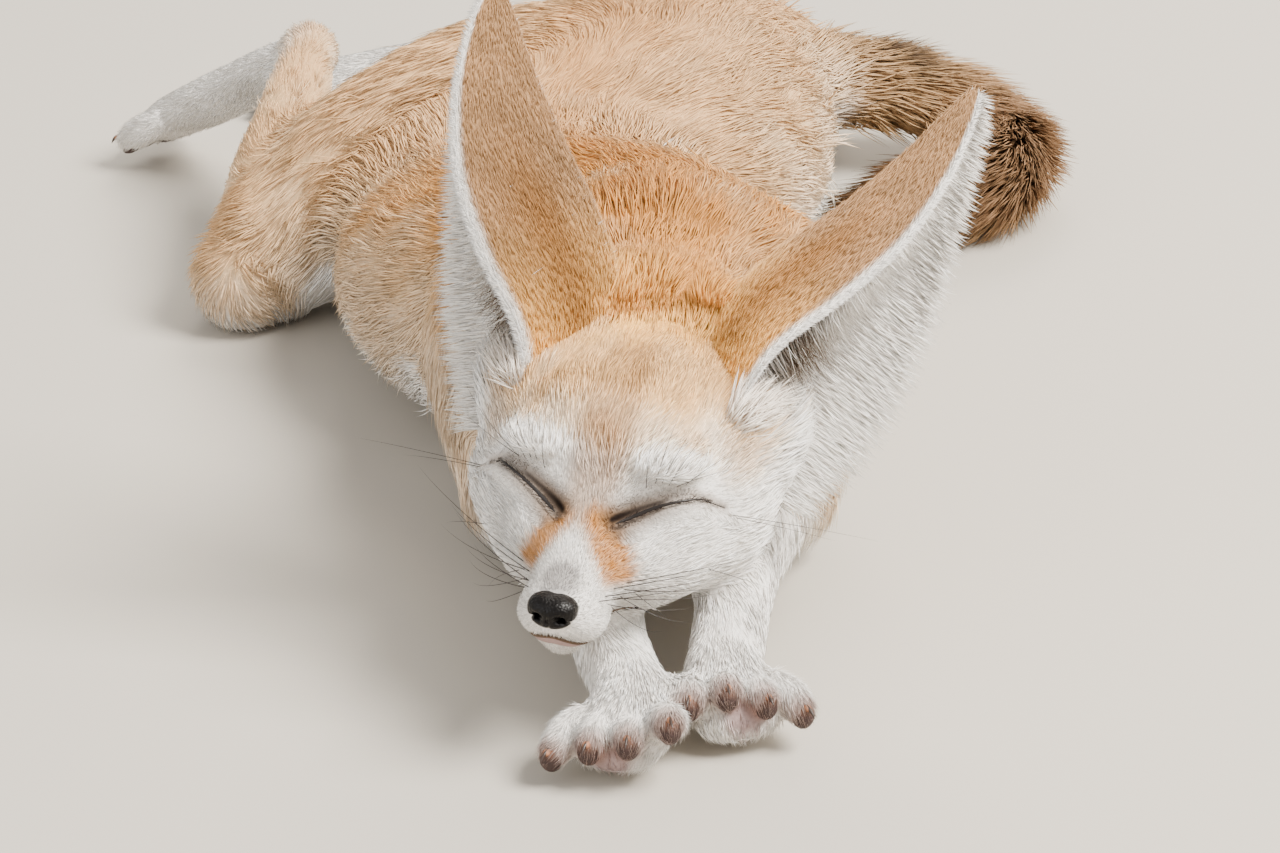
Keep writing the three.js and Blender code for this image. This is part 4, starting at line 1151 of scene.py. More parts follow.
def ear_colours(t, s, face):
    """The ear's colours: sandy at the back with painted shade in the hollow by the front rim, white at the
    rims and inside, flesh-pink deep in the cup.
    """
    back = mixed(EAR_BACK, GOLD * 0.95, 1 - smooth(t, 0.06, 0.42))
    mottle = 1 + 0.12 * ripple(np.stack([t * 80, s * 24, t * 0], 1), 9, 31)
    # Painted shade: darker brown in the hollow along the front rim near the root, on the back of the ear
    hollow = np.exp(-(((s - 0.66) / 0.16) ** 2)) * smooth(t, 0.06, 0.14) * (1 - smooth(t, 0.35, 0.6))
    back = mixed(back * mottle[:, None], RUFOUS * 0.6, 0.75 * hollow)
    back = mixed(back, WHITE, smooth(np.abs(s), 0.94, 0.99))
    deep = (1 - smooth(np.abs(s), 0.2, 0.75)) * (1 - smooth(t, 0.5, 0.9))
    cup = mixed(WHITE, FLESH, 0.3 * deep)
    return np.where(face[:, None] > 0.5, cup, back)


all_points, all_faces, all_shades = [skin_points], [skin_faces], [skin_shade]
for shell_points, shell_faces, t, s, face in ear_shells.values():
    all_faces.append(shell_faces + sum(len(p) for p in all_points))
    all_points.append(shell_points)
    shade = ear_colours(t, s, face)
    all_shades.append(np.concatenate([shade, shade[:1], shade[-1:]]))
skin = mesh_piece("skin", np.concatenate(all_points), np.concatenate(all_faces))
paint(skin, np.concatenate(all_shades) * SKIN_PAINTED_SHADE)
print("the skin's object has", len(skin.data.polygons), "triangles")

# %% [markdown]
# Hair isn't alike all over. On the face it is 1 to 3 mm long, on the cheeks and the crown longer, and on
# the body 10 to 17 mm. Short hair is fine and dense, and long hair coarser. None grows on the nose or the
# lids' edges, and little where the body rests on the floor.

# %% How long and dense the hair is
def in_fold(points):
    """How near a point is to the folds of loose skin between the ears, from 1 to 0."""
    return np.max([stroke(to_head(points), np.array(rows)[:, :3], 4.0) for rows in FOLDS], 0)


def head_hair(points, coat):
    """The head's own lengths: shortest by the nose and eyes, and long on the cheeks and the nape.

    A tuft's width is 0.22 + 0.025 long, and there are 14 / (1 + long) of them to 1 mm2.
    """
    near = one_side(points)
    x, y, z = near.T
    of_head = coat["part"] == "head"
    long = 1.6 + 4.6 * smooth(y, -50, -16)
    long = long + 5.0 * smooth(x + 0.35 * y - 0.25 * z, 20, 36)
    long = long + 3.0 * smooth(y, 0, 25)
    long = long * (1 - 0.6 * spot(near, [16, -30, 3.5], [12, 8, 5.5]))
    long = long + 2.5 * spot(near, [30, -2, 20], [9, 14, 14])
    long = long * (1 - 0.6 * by_the_lids(points)[0])
    long = long * (1 - 0.5 * in_fold(points))
    coat["long"] = np.where(of_head, long, coat["long"])
    coat["wide"] = np.where(of_head, 0.22 + 0.025 * long, coat["wide"])
    coat["many"] = np.where(of_head, np.clip(14.0 / (1.0 + long), 1.3, 5.0), coat["many"])
    return coat


many = head_hair(skin_points, dict(skin_coat))["many"]
many = many * (1 - 0.75 * smooth(-skin_normals[:, 2], 0.2, 0.7) * (skin_points[:, 2] < 16))
many = many * (1 - 0.9 * smooth(-skin_normals[:, 2], 0.7, 0.95) * (skin_points[:, 2] < 4))
for name in ("fore_left", "fore_right"):
    many = many * (1 - 0.8 * spot(skin_points, mid_toes(FEET[name], 3) - [0, 0, 4], [4, 6, 3.5]))
many = many * (1 - smooth(eye_mask(skin_points)[0], 0, 0.25))
nose_gap = np.linalg.norm(to_head(skin_points) - [0, -55.5, -15], axis=1)
many = many * smooth(nose_gap, 4.5, 6.0)
print("the coat has from", many.min().round(2), "to", many.max().round(2), "tufts to 1 mm2")

# %% [markdown]
# Now the roots are scattered, and each tuft gets its own lie and lift. Hair lies along its part of the
# body, but it wanders a little, turns up the ears at their roots, and gives way to the lids. In a crease a
# tuft would end inside the skin across from it, so it is lifted until its tip is clear.

# %% Roots and the lie of each tuft
WANDER, STRAY, UP_THE_EARS = 0.24, 0.09, 1.6
LEAST_LIFT, MOST_LIFT, CREASE_LIFT = np.radians([4, 50, 65])

roots, outs = body_roots(skin_points, skin_faces, skin_normals, many)
coat = head_hair(roots, coat_at(roots, outs))
shade = skin_colours(roots, outs, coat)
place = unwrapped(roots, coat)
print(len(roots), "roots on the head, body and tail, by part:",
      {part: int((coat["part"] == part).sum()) for part in PARTS})

of_head, of_tail = coat["part"] == "head", coat["part"] == "tail"
wander = np.stack([ripple(roots, 16, seed) for seed in (11, 12, 13)], 1)
base = spot(one_side(roots), [28, 0, 24], [9, 12, 10])
ear_up = {name: unit(ear_at(ear, 0.5, 0.0) - ear_at(ear, 0.05, 0.0)) for name, ear in EARS.items()}
ear_lie = np.where(to_head(roots)[:, :1] > 0, ear_up["left"], ear_up["right"])
lie = coat["lie"] + WANDER * wander + RNG.normal(0, STRAY, roots.shape)
lie = lie + UP_THE_EARS * (base * of_head)[:, None] * ear_lie
lids_near, lids_way = by_the_lids(roots)
lie = lie * (1 - lids_near)[:, None] + lids_way * lids_near[:, None]
lie = unit(lie - outs * (lie * outs).sum(1, keepdims=True))
long = coat["long"] * RNG.uniform(0.7, 1.15, len(roots))
wide = coat["wide"] * RNG.uniform(0.7, 1.3, len(roots))
lift = np.radians(9 + 2.5 * RNG.normal(size=len(roots)) + 3 * ripple(roots, 22, 14))
lift = lift + np.radians(12) * smooth(-coat["long"], -6, -3) * (1 - 0.8 * lids_near)
lift = lift + np.radians(26) * in_fold(roots)
lift = np.where(of_tail, lift + np.radians(18), lift)
lift = np.clip(lift, LEAST_LIFT, MOST_LIFT)
for _ in range(2):
    tips = roots + long[:, None] * (lie * np.cos(lift - 0.15)[:, None] + outs * np.sin(lift - 0.15)[:, None])
    buried = np.clip(-body_field(tips) / long - 0.02, 0, 1)
    lift = np.clip(lift + 1.2 * np.arctan(buried), LEAST_LIFT, CREASE_LIFT)
    print("in creases,", int((buried > 0.05).sum()), "tufts are lifted, to bring their tips clear")

# %% [markdown]
# No two locks are quite the same colour. Each is a little lighter or darker than its neighbours, and paler
# at its tip than at its root, where painted shade stands for the shadow deep in the coat. A few have the
# dark tips that pepper a fennec's back and brow.

# %% The tones and the tufts
bright = np.where(of_head[:, None], RNG.normal(1.0, 0.14, (len(roots), 1)),
                  RNG.normal(1.0, 0.08, (len(roots), 1)))
bright = bright * (1 + 0.06 * ripple(roots, 7, 21) + 0.05 * ripple(roots, 19, 22))[:, None]
dark_share = np.where(of_head, 0.05 + 0.16 * smooth(to_head(roots)[:, 2], 8, 20), 0.09)
tipped = RNG.random(len(roots)) < dark_share
# Painted shade: each tuft is darker at its root and a little lighter at its tip, for the shade deep in the
# coat
root_shade = shade * 0.88 * bright
tip_shade = np.clip(shade * 1.08 * bright, 0, 0.96)
tip_shade = np.where((tipped & (outs[:, 2] > 0.1))[:, None], tip_shade * 0.6, tip_shade)
tip_shade = np.where(of_tail[:, None], tip_shade * 0.85, tip_shade)

fine = coat["long"] < np.where(of_head, 4.2, 4)
hair = (roots, outs, lie, long, wide, lift, root_shade, tip_shade, place)
COAT_PIECES = []
for name, chosen, bent in (("face_coat", fine & of_head, False), ("paw_coat", fine & ~of_head, False),
                           ("head_coat", ~fine & of_head, True),
                           ("body_coat", ~fine & ~of_head & ~of_tail, True),
                           ("tail_coat", ~fine & of_tail, True)):
    COAT_PIECES += tufts(name, *(values[chosen] for values in hair), bent)

# %% [markdown]
# An ear's hair is of three kinds. Its back wears very short sandy fur that lies up towards the tip. Its
# rims carry short white hair. Inside, long white hairs start along the front rim and comb straight across
# the cup, out past the outer rim, where they make the saw-toothed fringe. A table has a row for each coat.

# %% The ways the ears' hair lies
def towards_tip(ear, t, s, up, over):
    """Straight up the ear."""
    return up


def over_cup(ear, t, s, up, over):
    """Across the mouth of the cup, from a root to a point of the outer rim a little higher."""
    beyond = ear_at(ear, np.minimum(t + 0.05, 1), np.full_like(s, -1.05))
    return beyond - ear_skin(ear, t, s, np.ones_like(s))


def off_rim(ear, t, s, up, over):
    """Out over whichever rim is nearer, and up."""
    return unit(np.sign(s)[:, None] * over * 0.8 + 0.7 * up)


def fringe_way(ear, t, s, up, over):
    """On across the cup and out beyond the outer rim, leaning up the ear."""
    return -over + 0.35 * up


def white_tint(t, s, face):
    """Plain white."""
    return WHITE


def cup_tint(t, s, face):
    """White, with a grey-brown tuft low inside the front rim."""
    dark = np.exp(-(((t - 0.22) / 0.09) ** 2) - ((s - 0.82) / 0.25) ** 2)
    dark = np.clip(1.4 * dark, 0, 1) * (RNG.random(len(t)) < 0.75)
    return mixed(ear_colours(t, s, face), GREY_BROWN * 0.4, dark)


# A tuft's length is the short one at the tip, and that much more times (1 - t)^power down the ear
EAR_COATS = [
    # kind    face  from s  to s  to 1 mm2  short  more  power  lie         lift  wide  colour  bent
    ("back", 0, -1, 1, 3.0, 2.2, 1.8, 1, towards_tip, 20, 0.32, ear_colours, False),
    ("cup", 1, -0.8, 1, 3.0, 3.4, 3.2, 1, fringe_way, 14, 0.32, cup_tint, False),
    ("comb", 1, 0.1, 1, 4.2, 6, 14, 1, over_cup, 7, 0.3, cup_tint, False),
    ("rim", 0, 0.955, 1, 16.0, 1.8, 0.8, 1, off_rim, 12, 0.3, white_tint, False),
    ("edge", 0, -1, -0.955, 14.0, 1.8, 0.8, 1, off_rim, 12, 0.3, white_tint, False),
    ("fringe", 1, -1, -0.7, 3.8, 3.4, 7.5, 0.7, fringe_way, 8, 0.36, white_tint, True),
]
print("each ear wears", len(EAR_COATS), "coats")

# %% [markdown]
# Roots are scattered over an ear in its own two parameters: it is cut in small cells, and each cell gets
# as many as its area asks for.

# %% The coat of the ears
def ear_cells(ear, low, high, rows=70, columns=40):
    """The middles of small cells over part of an ear, their areas, and how far each reaches in t and s."""
    t = (np.arange(rows) + 0.5) / rows
    s = low + (high - low) * (np.arange(columns) + 0.5) / columns
    grid_t, grid_s = (g.ravel() for g in np.meshgrid(t, s, indexing="ij"))
    step_t, step_s = 0.5 / rows, 0.5 * (high - low) / columns
    along = ear_at(ear, grid_t + step_t, grid_s) - ear_at(ear, grid_t - step_t, grid_s)
    over = ear_at(ear, grid_t, grid_s + step_s) - ear_at(ear, grid_t, grid_s - step_s)
    return grid_t, grid_s, np.linalg.norm(np.cross(along, over), axis=1), (2 * step_t, 2 * step_s)


def ear_coat(name, kind, face, low, high, many, short, more, power, way_of, leans, wide, tint, bent):
    """One coat on one ear, of a row of the table: roots in (t, s), and long = short + more (1 - t)^power."""
    ear = EARS[name]
    t, s, area, (step_t, step_s) = ear_cells(ear, low, high)
    chosen = scattered(area * many)
    t = np.clip(t[chosen] + RNG.uniform(-0.5, 0.5, len(chosen)) * step_t, 0.001, 0.995)
    s = np.clip(s[chosen] + RNG.uniform(-0.5, 0.5, len(chosen)) * step_s, -1, 1)
    faces = np.full(len(t), float(face))
    root = ear_skin(ear, t, s, faces)
    up, over, outward = ear_ways(ear, t, s)
    out = -outward if face else outward
    lie = unit(way_of(ear, t, s, up, over)) + RNG.normal(0, 0.08, root.shape)
    rise = (lie * out).sum(1)
    lie = unit(lie - out * rise[:, None])
    shade = tint(t, s, faces)
    bright = RNG.normal(1.0, 0.06, (len(t), 1))
    tile = 0.25 * (name == "right") + 0.125 * face
    place = np.stack([tile + 0.006 + 0.113 * (s + 1) / 2, 0.26 + 0.23 * t], 1)
    long = (short + more * (1 - t) ** power) * RNG.uniform(0.75, 1.15, len(t))
    lift = np.radians(leans) + np.radians(5) * RNG.normal(size=len(t))
    if way_of is over_cup:
        lift = lift + np.arcsin(np.clip(rise, 0, 0.95))
    wide = wide * RNG.uniform(0.7, 1.3, len(t))
    # Painted shade: the roots are darker than the tips, more so on the back of the ear than in the cup
    root_shade = shade * (0.95 if face else 0.82) * bright
    tip_shade = np.clip(shade * 1.05 * bright, 0, 0.95)
    return tufts(f"ear_{name}_{kind}", root, out, lie, long, wide, lift, root_shade, tip_shade, place, bent,
                 seed=len(kind))


for name in EARS:
    for row in EAR_COATS:
        COAT_PIECES += ear_coat(name, *row)

# %% [markdown]
# Long loose hair stands round the root of each ear and hides where the ear grows out of the head.

# %% The hair at the roots of the ears
ruff = {"root": [], "out": [], "lie": [], "shade": []}
for name, ear in EARS.items():
    up_ear = unit(ear_at(ear, 0.5, 0.3) - ear_at(ear, 0.05, 0.3))
    for t_at, s_at, reach, number in ((0.1, 1.0, 7.5, 420), (0.04, 0.55, 6.0, 160), (0.1, -1.0, 9.0, 420),
                                      (0.02, 1.0, 6.0, 260)):
        middle = ear_at(ear, t_at, s_at)
        beyond = ear["side"] * to_head(roots)[:, 0] > ear["side"] * to_head(middle[None])[0, 0] - 1.5
        near = np.flatnonzero((np.linalg.norm(roots - middle, axis=1) < reach) & of_head & beyond)
        if not len(near):
            continue
        chosen = near[RNG.integers(0, len(near), number)]
        jitter = RNG.normal(0, 0.4, (number, 3))
        jitter -= outs[chosen] * (jitter * outs[chosen]).sum(1, keepdims=True)
        ruff["root"].append(roots[chosen] + jitter)
        ruff["out"].append(outs[chosen])
        leaning = up_ear + 0.5 * (roots[chosen] - middle) / reach
        ruff["lie"].append(unit(leaning + RNG.normal(0, 0.16, (number, 3))))
        ruff["shade"].append(mixed(shade[chosen], WHITE, np.full(number, 0.75 if abs(s_at) == 1 else 0.0)))
ruff = {key: np.concatenate(value) for key, value in ruff.items()}
rise = (ruff["lie"] * ruff["out"]).sum(1)
count = len(rise)
ruff_lie = unit(ruff["lie"] - ruff["out"] * rise[:, None])
ruff_shade = ruff["shade"] * RNG.normal(1.0, 0.1, (count, 1))
ruff_place = unwrapped(ruff["root"], coat_at(ruff["root"], ruff["out"]))
# Painted shade: the roots of these tufts are darker than their tips
COAT_PIECES += tufts("ear_root_hair", ruff["root"], ruff["out"], ruff_lie, RNG.uniform(5, 10.5, count),
                     RNG.uniform(0.25, 0.45, count), np.clip(np.arcsin(rise), 0.1, 0.8),
                     np.clip(ruff_shade * 0.88, 0, 0.95), np.clip(ruff_shade, 0, 0.95), ruff_place, seed=9)
print("the coat has", sum(TRIANGLES.values()), "triangles in all, in", len(COAT_PIECES), "pieces")

# %% [markdown]
# The nose is bare leather. It is a rounded pad, wider above than below, and worked out as a ball on two
# angles whose points are then pushed in: deep commas for the nostrils, with a slit from each to the
# side, and a fine groove down the middle of its lower half.

# %% The nose
NOSE_AT = np.array([-0.4, -55.0, -14.8])
NOSE_HALF = np.array([5.7, 4.6, 4.0])
NOSE_RINGS, NOSE_COLUMNS = 90, 120


def ball_angles(rings, columns, end):
    """Two angles on a grid over a ball: from its front pole, from `end` to pi - end, and round it."""
    return np.meshgrid(np.linspace(end, np.pi - end, rings), np.arange(columns) * 2 * np.pi / columns,
                       indexing="ij")


def nose_points(round_it, from_front):
    """The pad: half sizes times a way, whose powers of 0.88 make it a little square, less the dents, and
    where to paint shade in them.
    """
    way = np.stack([np.sin(from_front) * np.cos(round_it), -np.cos(from_front),
                    np.sin(from_front) * np.sin(round_it)], -1)
    way = np.sign(way) * np.abs(way) ** 0.88
    own = way * NOSE_HALF
    own[..., 0] *= 1 + 0.03 * own[..., 2]
    x, z = np.abs(own[..., 0]), own[..., 2]
    front = np.clip(-way[..., 1], 0, 1)
    hole = np.exp(-(((x - 2.7) / 1.15) ** 2) - ((z + 0.7) / 0.85) ** 2)
    along = np.clip((x - 2.7) / 3.2, 0, 1)
    slit = np.exp(-(((z + 0.7 + 1.4 * along) / 0.5) ** 2)) * smooth(x, 2.0, 3.4)
    middle = np.exp(-((x / 0.38) ** 2)) * smooth(-z, -0.5, 1.5)
    own[..., 1] += 2.6 * hole * front + 1.1 * slit * smooth(front, 0.02, 0.35) + 0.7 * middle * front
    own[..., 0] -= np.sign(own[..., 0]) * 0.9 * slit * (1 - front)
    own[..., 2] -= 0.25 * np.exp(-((x / 1.2) ** 2)) * smooth(z, 2, 4)
    return own, np.maximum(hole, 0.55 * slit)


from_front, round_it = ball_angles(NOSE_RINGS, NOSE_COLUMNS, 0.02)
nose_shape, shaded_nostril_grid = nose_points(round_it, from_front)
nose_own = np.concatenate([nose_shape.reshape(-1, 3), [nose_shape[0].mean(0)], [nose_shape[-1].mean(0)]])
nose_faces = outward(nose_own, ring_faces(NOSE_RINGS, NOSE_COLUMNS))
nose = mesh_piece("nose_pad", from_head(nose_own + NOSE_AT), nose_faces)
nostril_shade = np.concatenate([shaded_nostril_grid.ravel(), [0, 0]])
# Painted shade: the nostrils and the slits beside them are darker than the leather round them
nose_tone = colour(0.055, 0.042, 0.038) * (1 - 0.85 * nostril_shade[:, None])
paint(nose, nose_tone)
print("the nose has", len(nose.data.polygons), "triangles")

# %% [markdown]
# Lids, lips, claws and whiskers are all tapered tubes along a bending line, so one function makes any
# number of them at once: rings of a few points round each line, closed by a point at both ends.

# %% Tubes along lines
def tubes(paths, half_over, half_up, ups, sides=8):
    """Points and triangles of tubes: centre + over half_over cos + upward half_up sin, for each line."""
    count, steps = paths.shape[:2]
    onward = unit(np.gradient(paths, axis=1))
    over = unit(np.cross(onward, ups))
    upward = np.cross(over, onward)
    angle = np.arange(sides) * 2 * np.pi / sides
    ring = (paths[:, :, None] + over[:, :, None] * (half_over[..., None, None] * np.cos(angle)[:, None])
            + upward[:, :, None] * (half_up[..., None, None] * np.sin(angle)[:, None]))
    points = np.concatenate([ring.reshape(count, -1, 3), paths[:, :1], paths[:, -1:]], 1)
    faces = outward(points[0] - points[0].mean(0), ring_faces(steps, sides))
    faces = faces[None] + points.shape[1] * np.arange(count)[:, None, None]
    return points.reshape(-1, 3), faces.reshape(-1, 3)


one_tube = tubes(np.linspace([[0, 0, 0]], [[9, 0, 0]], 10, axis=1), np.ones((1, 10)), np.ones((1, 10)), UP)
print("a tube of ten rings has", len(one_tube[0]), "points and", len(one_tube[1]), "triangles")

# %% [markdown]
# The edges of shut lids are bare, dark and a little moist, and show as a fine line that swells towards
# the inner corner. A tube laid in each groove gives it, and lashes that sweep outwards soften its edges.

# %% The lids' edges and lashes
LID_STEPS = 60
q = np.linspace(0.0, 1.0, LID_STEPS)
lid_half = np.interp(q, [0, 0.12, 0.25, 0.4, 0.6, 0.85, 1], [0.06, 0.34, 0.46, 0.38, 0.27, 0.18, 0.06])
lid_paths = []
for rows in EYE_ROWS:
    path, out = settle(through(rows, q)[:, :3], body_field, 2)
    lid_paths.append(path - out * 0.3)
lid_paths, lid_halves = np.array(lid_paths), np.array([lid_half, lid_half])
lid_outs = np.array([settle(path, body_field, 0)[1] for path in lid_paths])
lids = mesh_piece("lid_edges", *tubes(lid_paths, lid_halves, lid_halves * 0.55, lid_outs, 10))
paint(lids, DARK * 0.6)

lash_root, lash_lie, lash_out = [], [], []
for path, out, side in zip(lid_paths, lid_outs, (1, -1)):
    for share in (-1, 1):
        number = RNG.integers(4, 52, 40 if share < 0 else 24)
        along = unit(path[np.minimum(number + 1, LID_STEPS - 1)] - path[number - 1])
        beside = unit(np.cross(out[number], along)) * side * share
        lash_root.append(path[number] + beside * 0.2)
        sweep = along * RNG.uniform(0.8, 1.3, (len(number), 1))
        lash_lie.append(unit(sweep + beside * RNG.uniform(0.2, 0.6, (len(number), 1))))
        lash_out.append(out[number])
lash_root, lash_lie, lash_out = map(np.concatenate, (lash_root, lash_lie, lash_out))
count = len(lash_root)
lash_place = np.array([0.3, 0.75]) + RNG.uniform(-0.02, 0.02, (count, 2))
lash_shade = np.tile(DARK, (count, 1))
COAT_PIECES += tufts("lashes", lash_root, lash_out, lash_lie, RNG.uniform(1.0, 2.3, count),
                     np.full(count, 0.13), np.radians(RNG.uniform(8, 22, count)), lash_shade,
                     lash_shade * 1.3, lash_place, seed=3)

# %% [markdown]
# The mouth is shut. A dark line runs back from under the nose on each side, and the lower lip shows
# below it at the front as a narrow roll of grey-pink skin.

# %% The lips
def lip(name, low, high, steps, power, move, sink, halves, sides, shade):
    """A tube along the mouth's line from q = low to high: its half sizes go with sin(pi u)^power."""
    path = through(MOUTH_ROWS, np.linspace(low, high, steps))[:, :3] + from_head([move]) - HEAD_AT
    path, out = settle(path, body_field, 2)
    taper = np.sin(np.pi * np.linspace(0, 1, steps)) ** power
    over, upward = ((half * taper + 0.05)[None] for half in halves)
    piece = mesh_piece(name, *tubes((path - out * sink)[None], over, upward, out[None], sides))
    paint(piece, shade)
    return piece


lip_line = lip("lip_line", 0.08, 0.92, 90, 0.5, [0, 0, 0], 0.2, (0.42, 0.4), 8, (2 * DARK + GREY_BROWN) / 3)
lower_lip = lip("lower_lip", 0.34, 0.66, 60, 0.6, [0, 0.3, -1.5], 0.35, (1.6, 0.8), 10,
                colour(0.60, 0.50, 0.48))
print("the lids and lips have", [len(o.data.polygons) for o in (lids, lip_line, lower_lip)], "triangles")

# %% [markdown]
# Whiskers are stiff black hairs. Long ones sweep back from the muzzle past the cheeks, short ones hang
# by the mouth, and a few long fine ones stand on the brows and behind the eyes.

# %% Whiskers
WHISKER_STEPS = 14


def whisker_lines(starts, ends, bow):
    """Lines in the head's frame: start + (end - start) u + bow u (1 - u), for u from 0 to 1."""
    u = np.linspace(0, 1, WHISKER_STEPS)[None, :, None]
    starts, ends, bow = (np.asarray(a, float)[:, None] for a in (starts, ends, bow))
    return starts + (ends - starts) * u + bow * (u * (1 - u))


# Where each of the lone ones starts, and how far it reaches from there
LONE_WHISKERS = [
    (17, -28.5, 8.5, 9, 5, 17), (14, -29.5, 8.6, 4, 4, 19), (20, -26, 9, 14, 5, 12),
    (12, -30.5, 7.6, 0, 3, 15), (18.5, -27.5, 8.2, 14, 2, 7), (15.5, -29, 9, 7, 4, 17),
    (30.5, -17.5, -0.5, 33, 7, -2.5), (31, -16.5, -1.5, 22, 9, -5), (27, -23, -13, 13, 11, -7),
    (14, -37, -16, 9, 6, -9),
]
starts, ends, bows, thick = [], [], [], []
for side in (1, -1):
    for row, sweep in enumerate(([29, 17, 6], [24, 13, 1], [14, 6, -7])):
        for n in range(4 - row):
            share = n / 3
            start = np.array([12.6 - 3.8 * share, -40.6 - 8.0 * share, -12.4 - 0.8 * share - 1.9 * row])
            far = RNG.uniform(0.85, 1.15) * (1.05 - 0.4 * share)
            starts.append(start * [side, 1, 1])
            ends.append((start + far * (np.array(sweep) + RNG.normal(0, 1.2, 3))) * [side, 1, 1])
            bows.append([side * 6.0, -10.0, 5.0 - 4.0 * row])
            thick.append(0.13 - 0.015 * row)
    for x, y, z, dx, dy, dz in LONE_WHISKERS:
        starts.append([side * x, y, z])
        ends.append([side * (x + dx), y + dy, z + dz])
        bows.append([side * 2.0, -15.0, 8.0])
        thick.append(0.09)
whisker_paths = from_head(whisker_lines(starts, ends, bows))
root_ends, root_outs = settle(whisker_paths[:, 0], body_field, 3)
whisker_paths += (root_ends - root_outs * 0.4 - whisker_paths[:, 0])[:, None]
half = np.array(thick)[:, None] * (1 - 0.92 * np.linspace(0, 1, WHISKER_STEPS)[None] ** 1.3)
whiskers = mesh_piece("whiskers", *tubes(whisker_paths, half, half, UP, 5))
paint(whiskers, DARK * 0.8)
print("there are", len(starts), "whiskers with", len(whiskers.data.polygons), "triangles")

# %% [markdown]
# Each toe ends in a bare dark pad with a claw above it, and the claw grows from a small fold of skin. A
# hind foot has a larger pad of the same leather behind its toes, and a forepaw rests on its own. A
# fennec's feet are furry, so the pads show little. All are rounded, so one function makes them.

# %% Rounded pads
PAD_OVER_FLOOR, CLAW_OVER_FLOOR = 0.3, 0.9


def balls(centres, ways, halves, rings=14, columns=16):
    """Rounded pads: half sizes along a way, across it and up, for each centre, flat at the floor."""
    from_front, round_it = ball_angles(rings, columns, 0.08)
    shape = np.stack([np.cos(from_front), np.sin(from_front) * np.cos(round_it),
                      np.sin(from_front) * np.sin(round_it)], -1).reshape(-1, 3)
    shape = np.concatenate([shape, [[1, 0, 0], [-1, 0, 0]]])
    centres, ways, halves = (np.asarray(a, float) for a in (centres, ways, halves))
    ways = unit(ways)
    across = unit(np.cross(ways, UP))
    upward = np.cross(across, ways)
    frames = np.stack([ways, across, upward], 1)
    points = centres[:, None] + np.einsum("nk,mk,mkj->mnj", shape, halves, frames)
    points[..., 2] = np.maximum(points[..., 2], PAD_OVER_FLOOR)
    faces = outward(points[0] - points[0].mean(0), ring_faces(rings, columns))
    faces = faces[None] + len(shape) * np.arange(len(centres))[:, None, None]
    return points.reshape(-1, 3), faces.reshape(-1, 3)


print("a pad has", len(ring_faces(14, 16)), "triangles")

# %% [markdown]
# Where the pads and claws go is worked out from the rows of each toe. A claw comes out of its fold above
# the pad, runs on along the toe and then curves down. It is dark horn, a little lighter than the pads.

# %% Pads and claws
pad_at, pad_way, pad_half, fold_at, fold_way, claw_paths = [], [], [], [], [], []
for name, foot in FEET.items():
    fore = name.startswith("fore")
    for rows in foot["digits"]:
        rows = np.array(rows, float)
        tip, way = rows[3, :3], unit(rows[3, :3] - rows[2, :3] + [0, 0, 0.001])
        over_toe = unit(UP - way * (UP @ way))
        radius = rows[3, 3]
        if fore:
            pad_at.append(tip + way * radius * 0.2 - over_toe * radius * 0.22)
            pad_half.append([radius * 0.76, radius * 0.78, radius * 0.96])
        else:
            pad_at.append(tip - way * 1.0 - over_toe * radius * 0.75)
            pad_half.append([radius * 1.0, radius * 0.75, radius * 0.5])
        pad_way.append(way)
        fold_at.append(tip + way * radius * 0.5 + over_toe * radius * 0.6)
        fold_way.append(way)
        u = np.linspace(0, 1, 10)[:, None]
        claw_paths.append(fold_at[-1] - way * 0.6 + way * 3.8 * u + over_toe * (1.1 * u - 2.0 * u * u))
    palm = np.array(foot["palm"], float)
    if not fore:
        pad_at.append(palm[3, :3] - foot["ahead"] * 2 - [0, 0, palm[3, 4] * 0.6])
        pad_half.append([4.2, 6.0, 2.6])
        pad_way.append(foot["ahead"])
pad_points, pad_faces = balls(pad_at, pad_way, pad_half)
pads = mesh_piece("toe_pads", pad_points, pad_faces)
pad_height = pad_points.reshape(len(pad_at), -1, 3)[..., 2]
pad_height = (pad_height - pad_height.min(1, keepdims=True)) / np.ptp(pad_height, axis=1)[:, None]
# The pads are painted lighter brown towards their tops and darker below
pad_top = 0.8 * smooth(pad_height.ravel(), 0.55, 1.1)
paint(pads, mixed(colour(0.24, 0.18, 0.17), colour(0.56, 0.39, 0.30), pad_top))
folds = mesh_piece("claw_folds", *balls(fold_at, fold_way, np.tile([1.2, 0.85, 0.8], (len(fold_at), 1))))
paint(folds, colour(0.60, 0.42, 0.32))
claw_paths = np.array(claw_paths)
claw_paths[..., 2] = np.maximum(claw_paths[..., 2], CLAW_OVER_FLOOR)
claw_half = np.tile(0.7 * (1 - np.linspace(0, 1, 10) ** 1.6) + 0.04, (len(claw_paths), 1))
claws = mesh_piece("claws", *tubes(claw_paths, claw_half * 0.75, claw_half, UP, 10))
paint(claws, colour(0.22, 0.17, 0.15))
print("the pads, folds and claws have", [len(o.data.polygons) for o in (pads, folds, claws)], "triangles")

# %% [markdown]
# Every piece rides on the model's one body. The skin stands for all the nodes of flesh, and the
# finished nose for the nose's node.

# %% Riding on the frame
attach(skin, "root")
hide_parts(*[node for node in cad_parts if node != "nose"])
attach(nose, "root")
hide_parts("nose")
for piece in COAT_PIECES:
    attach(piece, "root")
BARE = [lids, lip_line, lower_lip, whiskers, pads, folds, claws]
for piece in BARE:
    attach(piece, "root")
print("there are", 2 + len(COAT_PIECES) + len(BARE), "pieces in all")

# %% [markdown]
# All the finished surfaces take their colour from what was painted on their points, so the skin and its
# coat agree. One shared group of nodes then breaks it up: large soft patches, fine grain, and a bump.

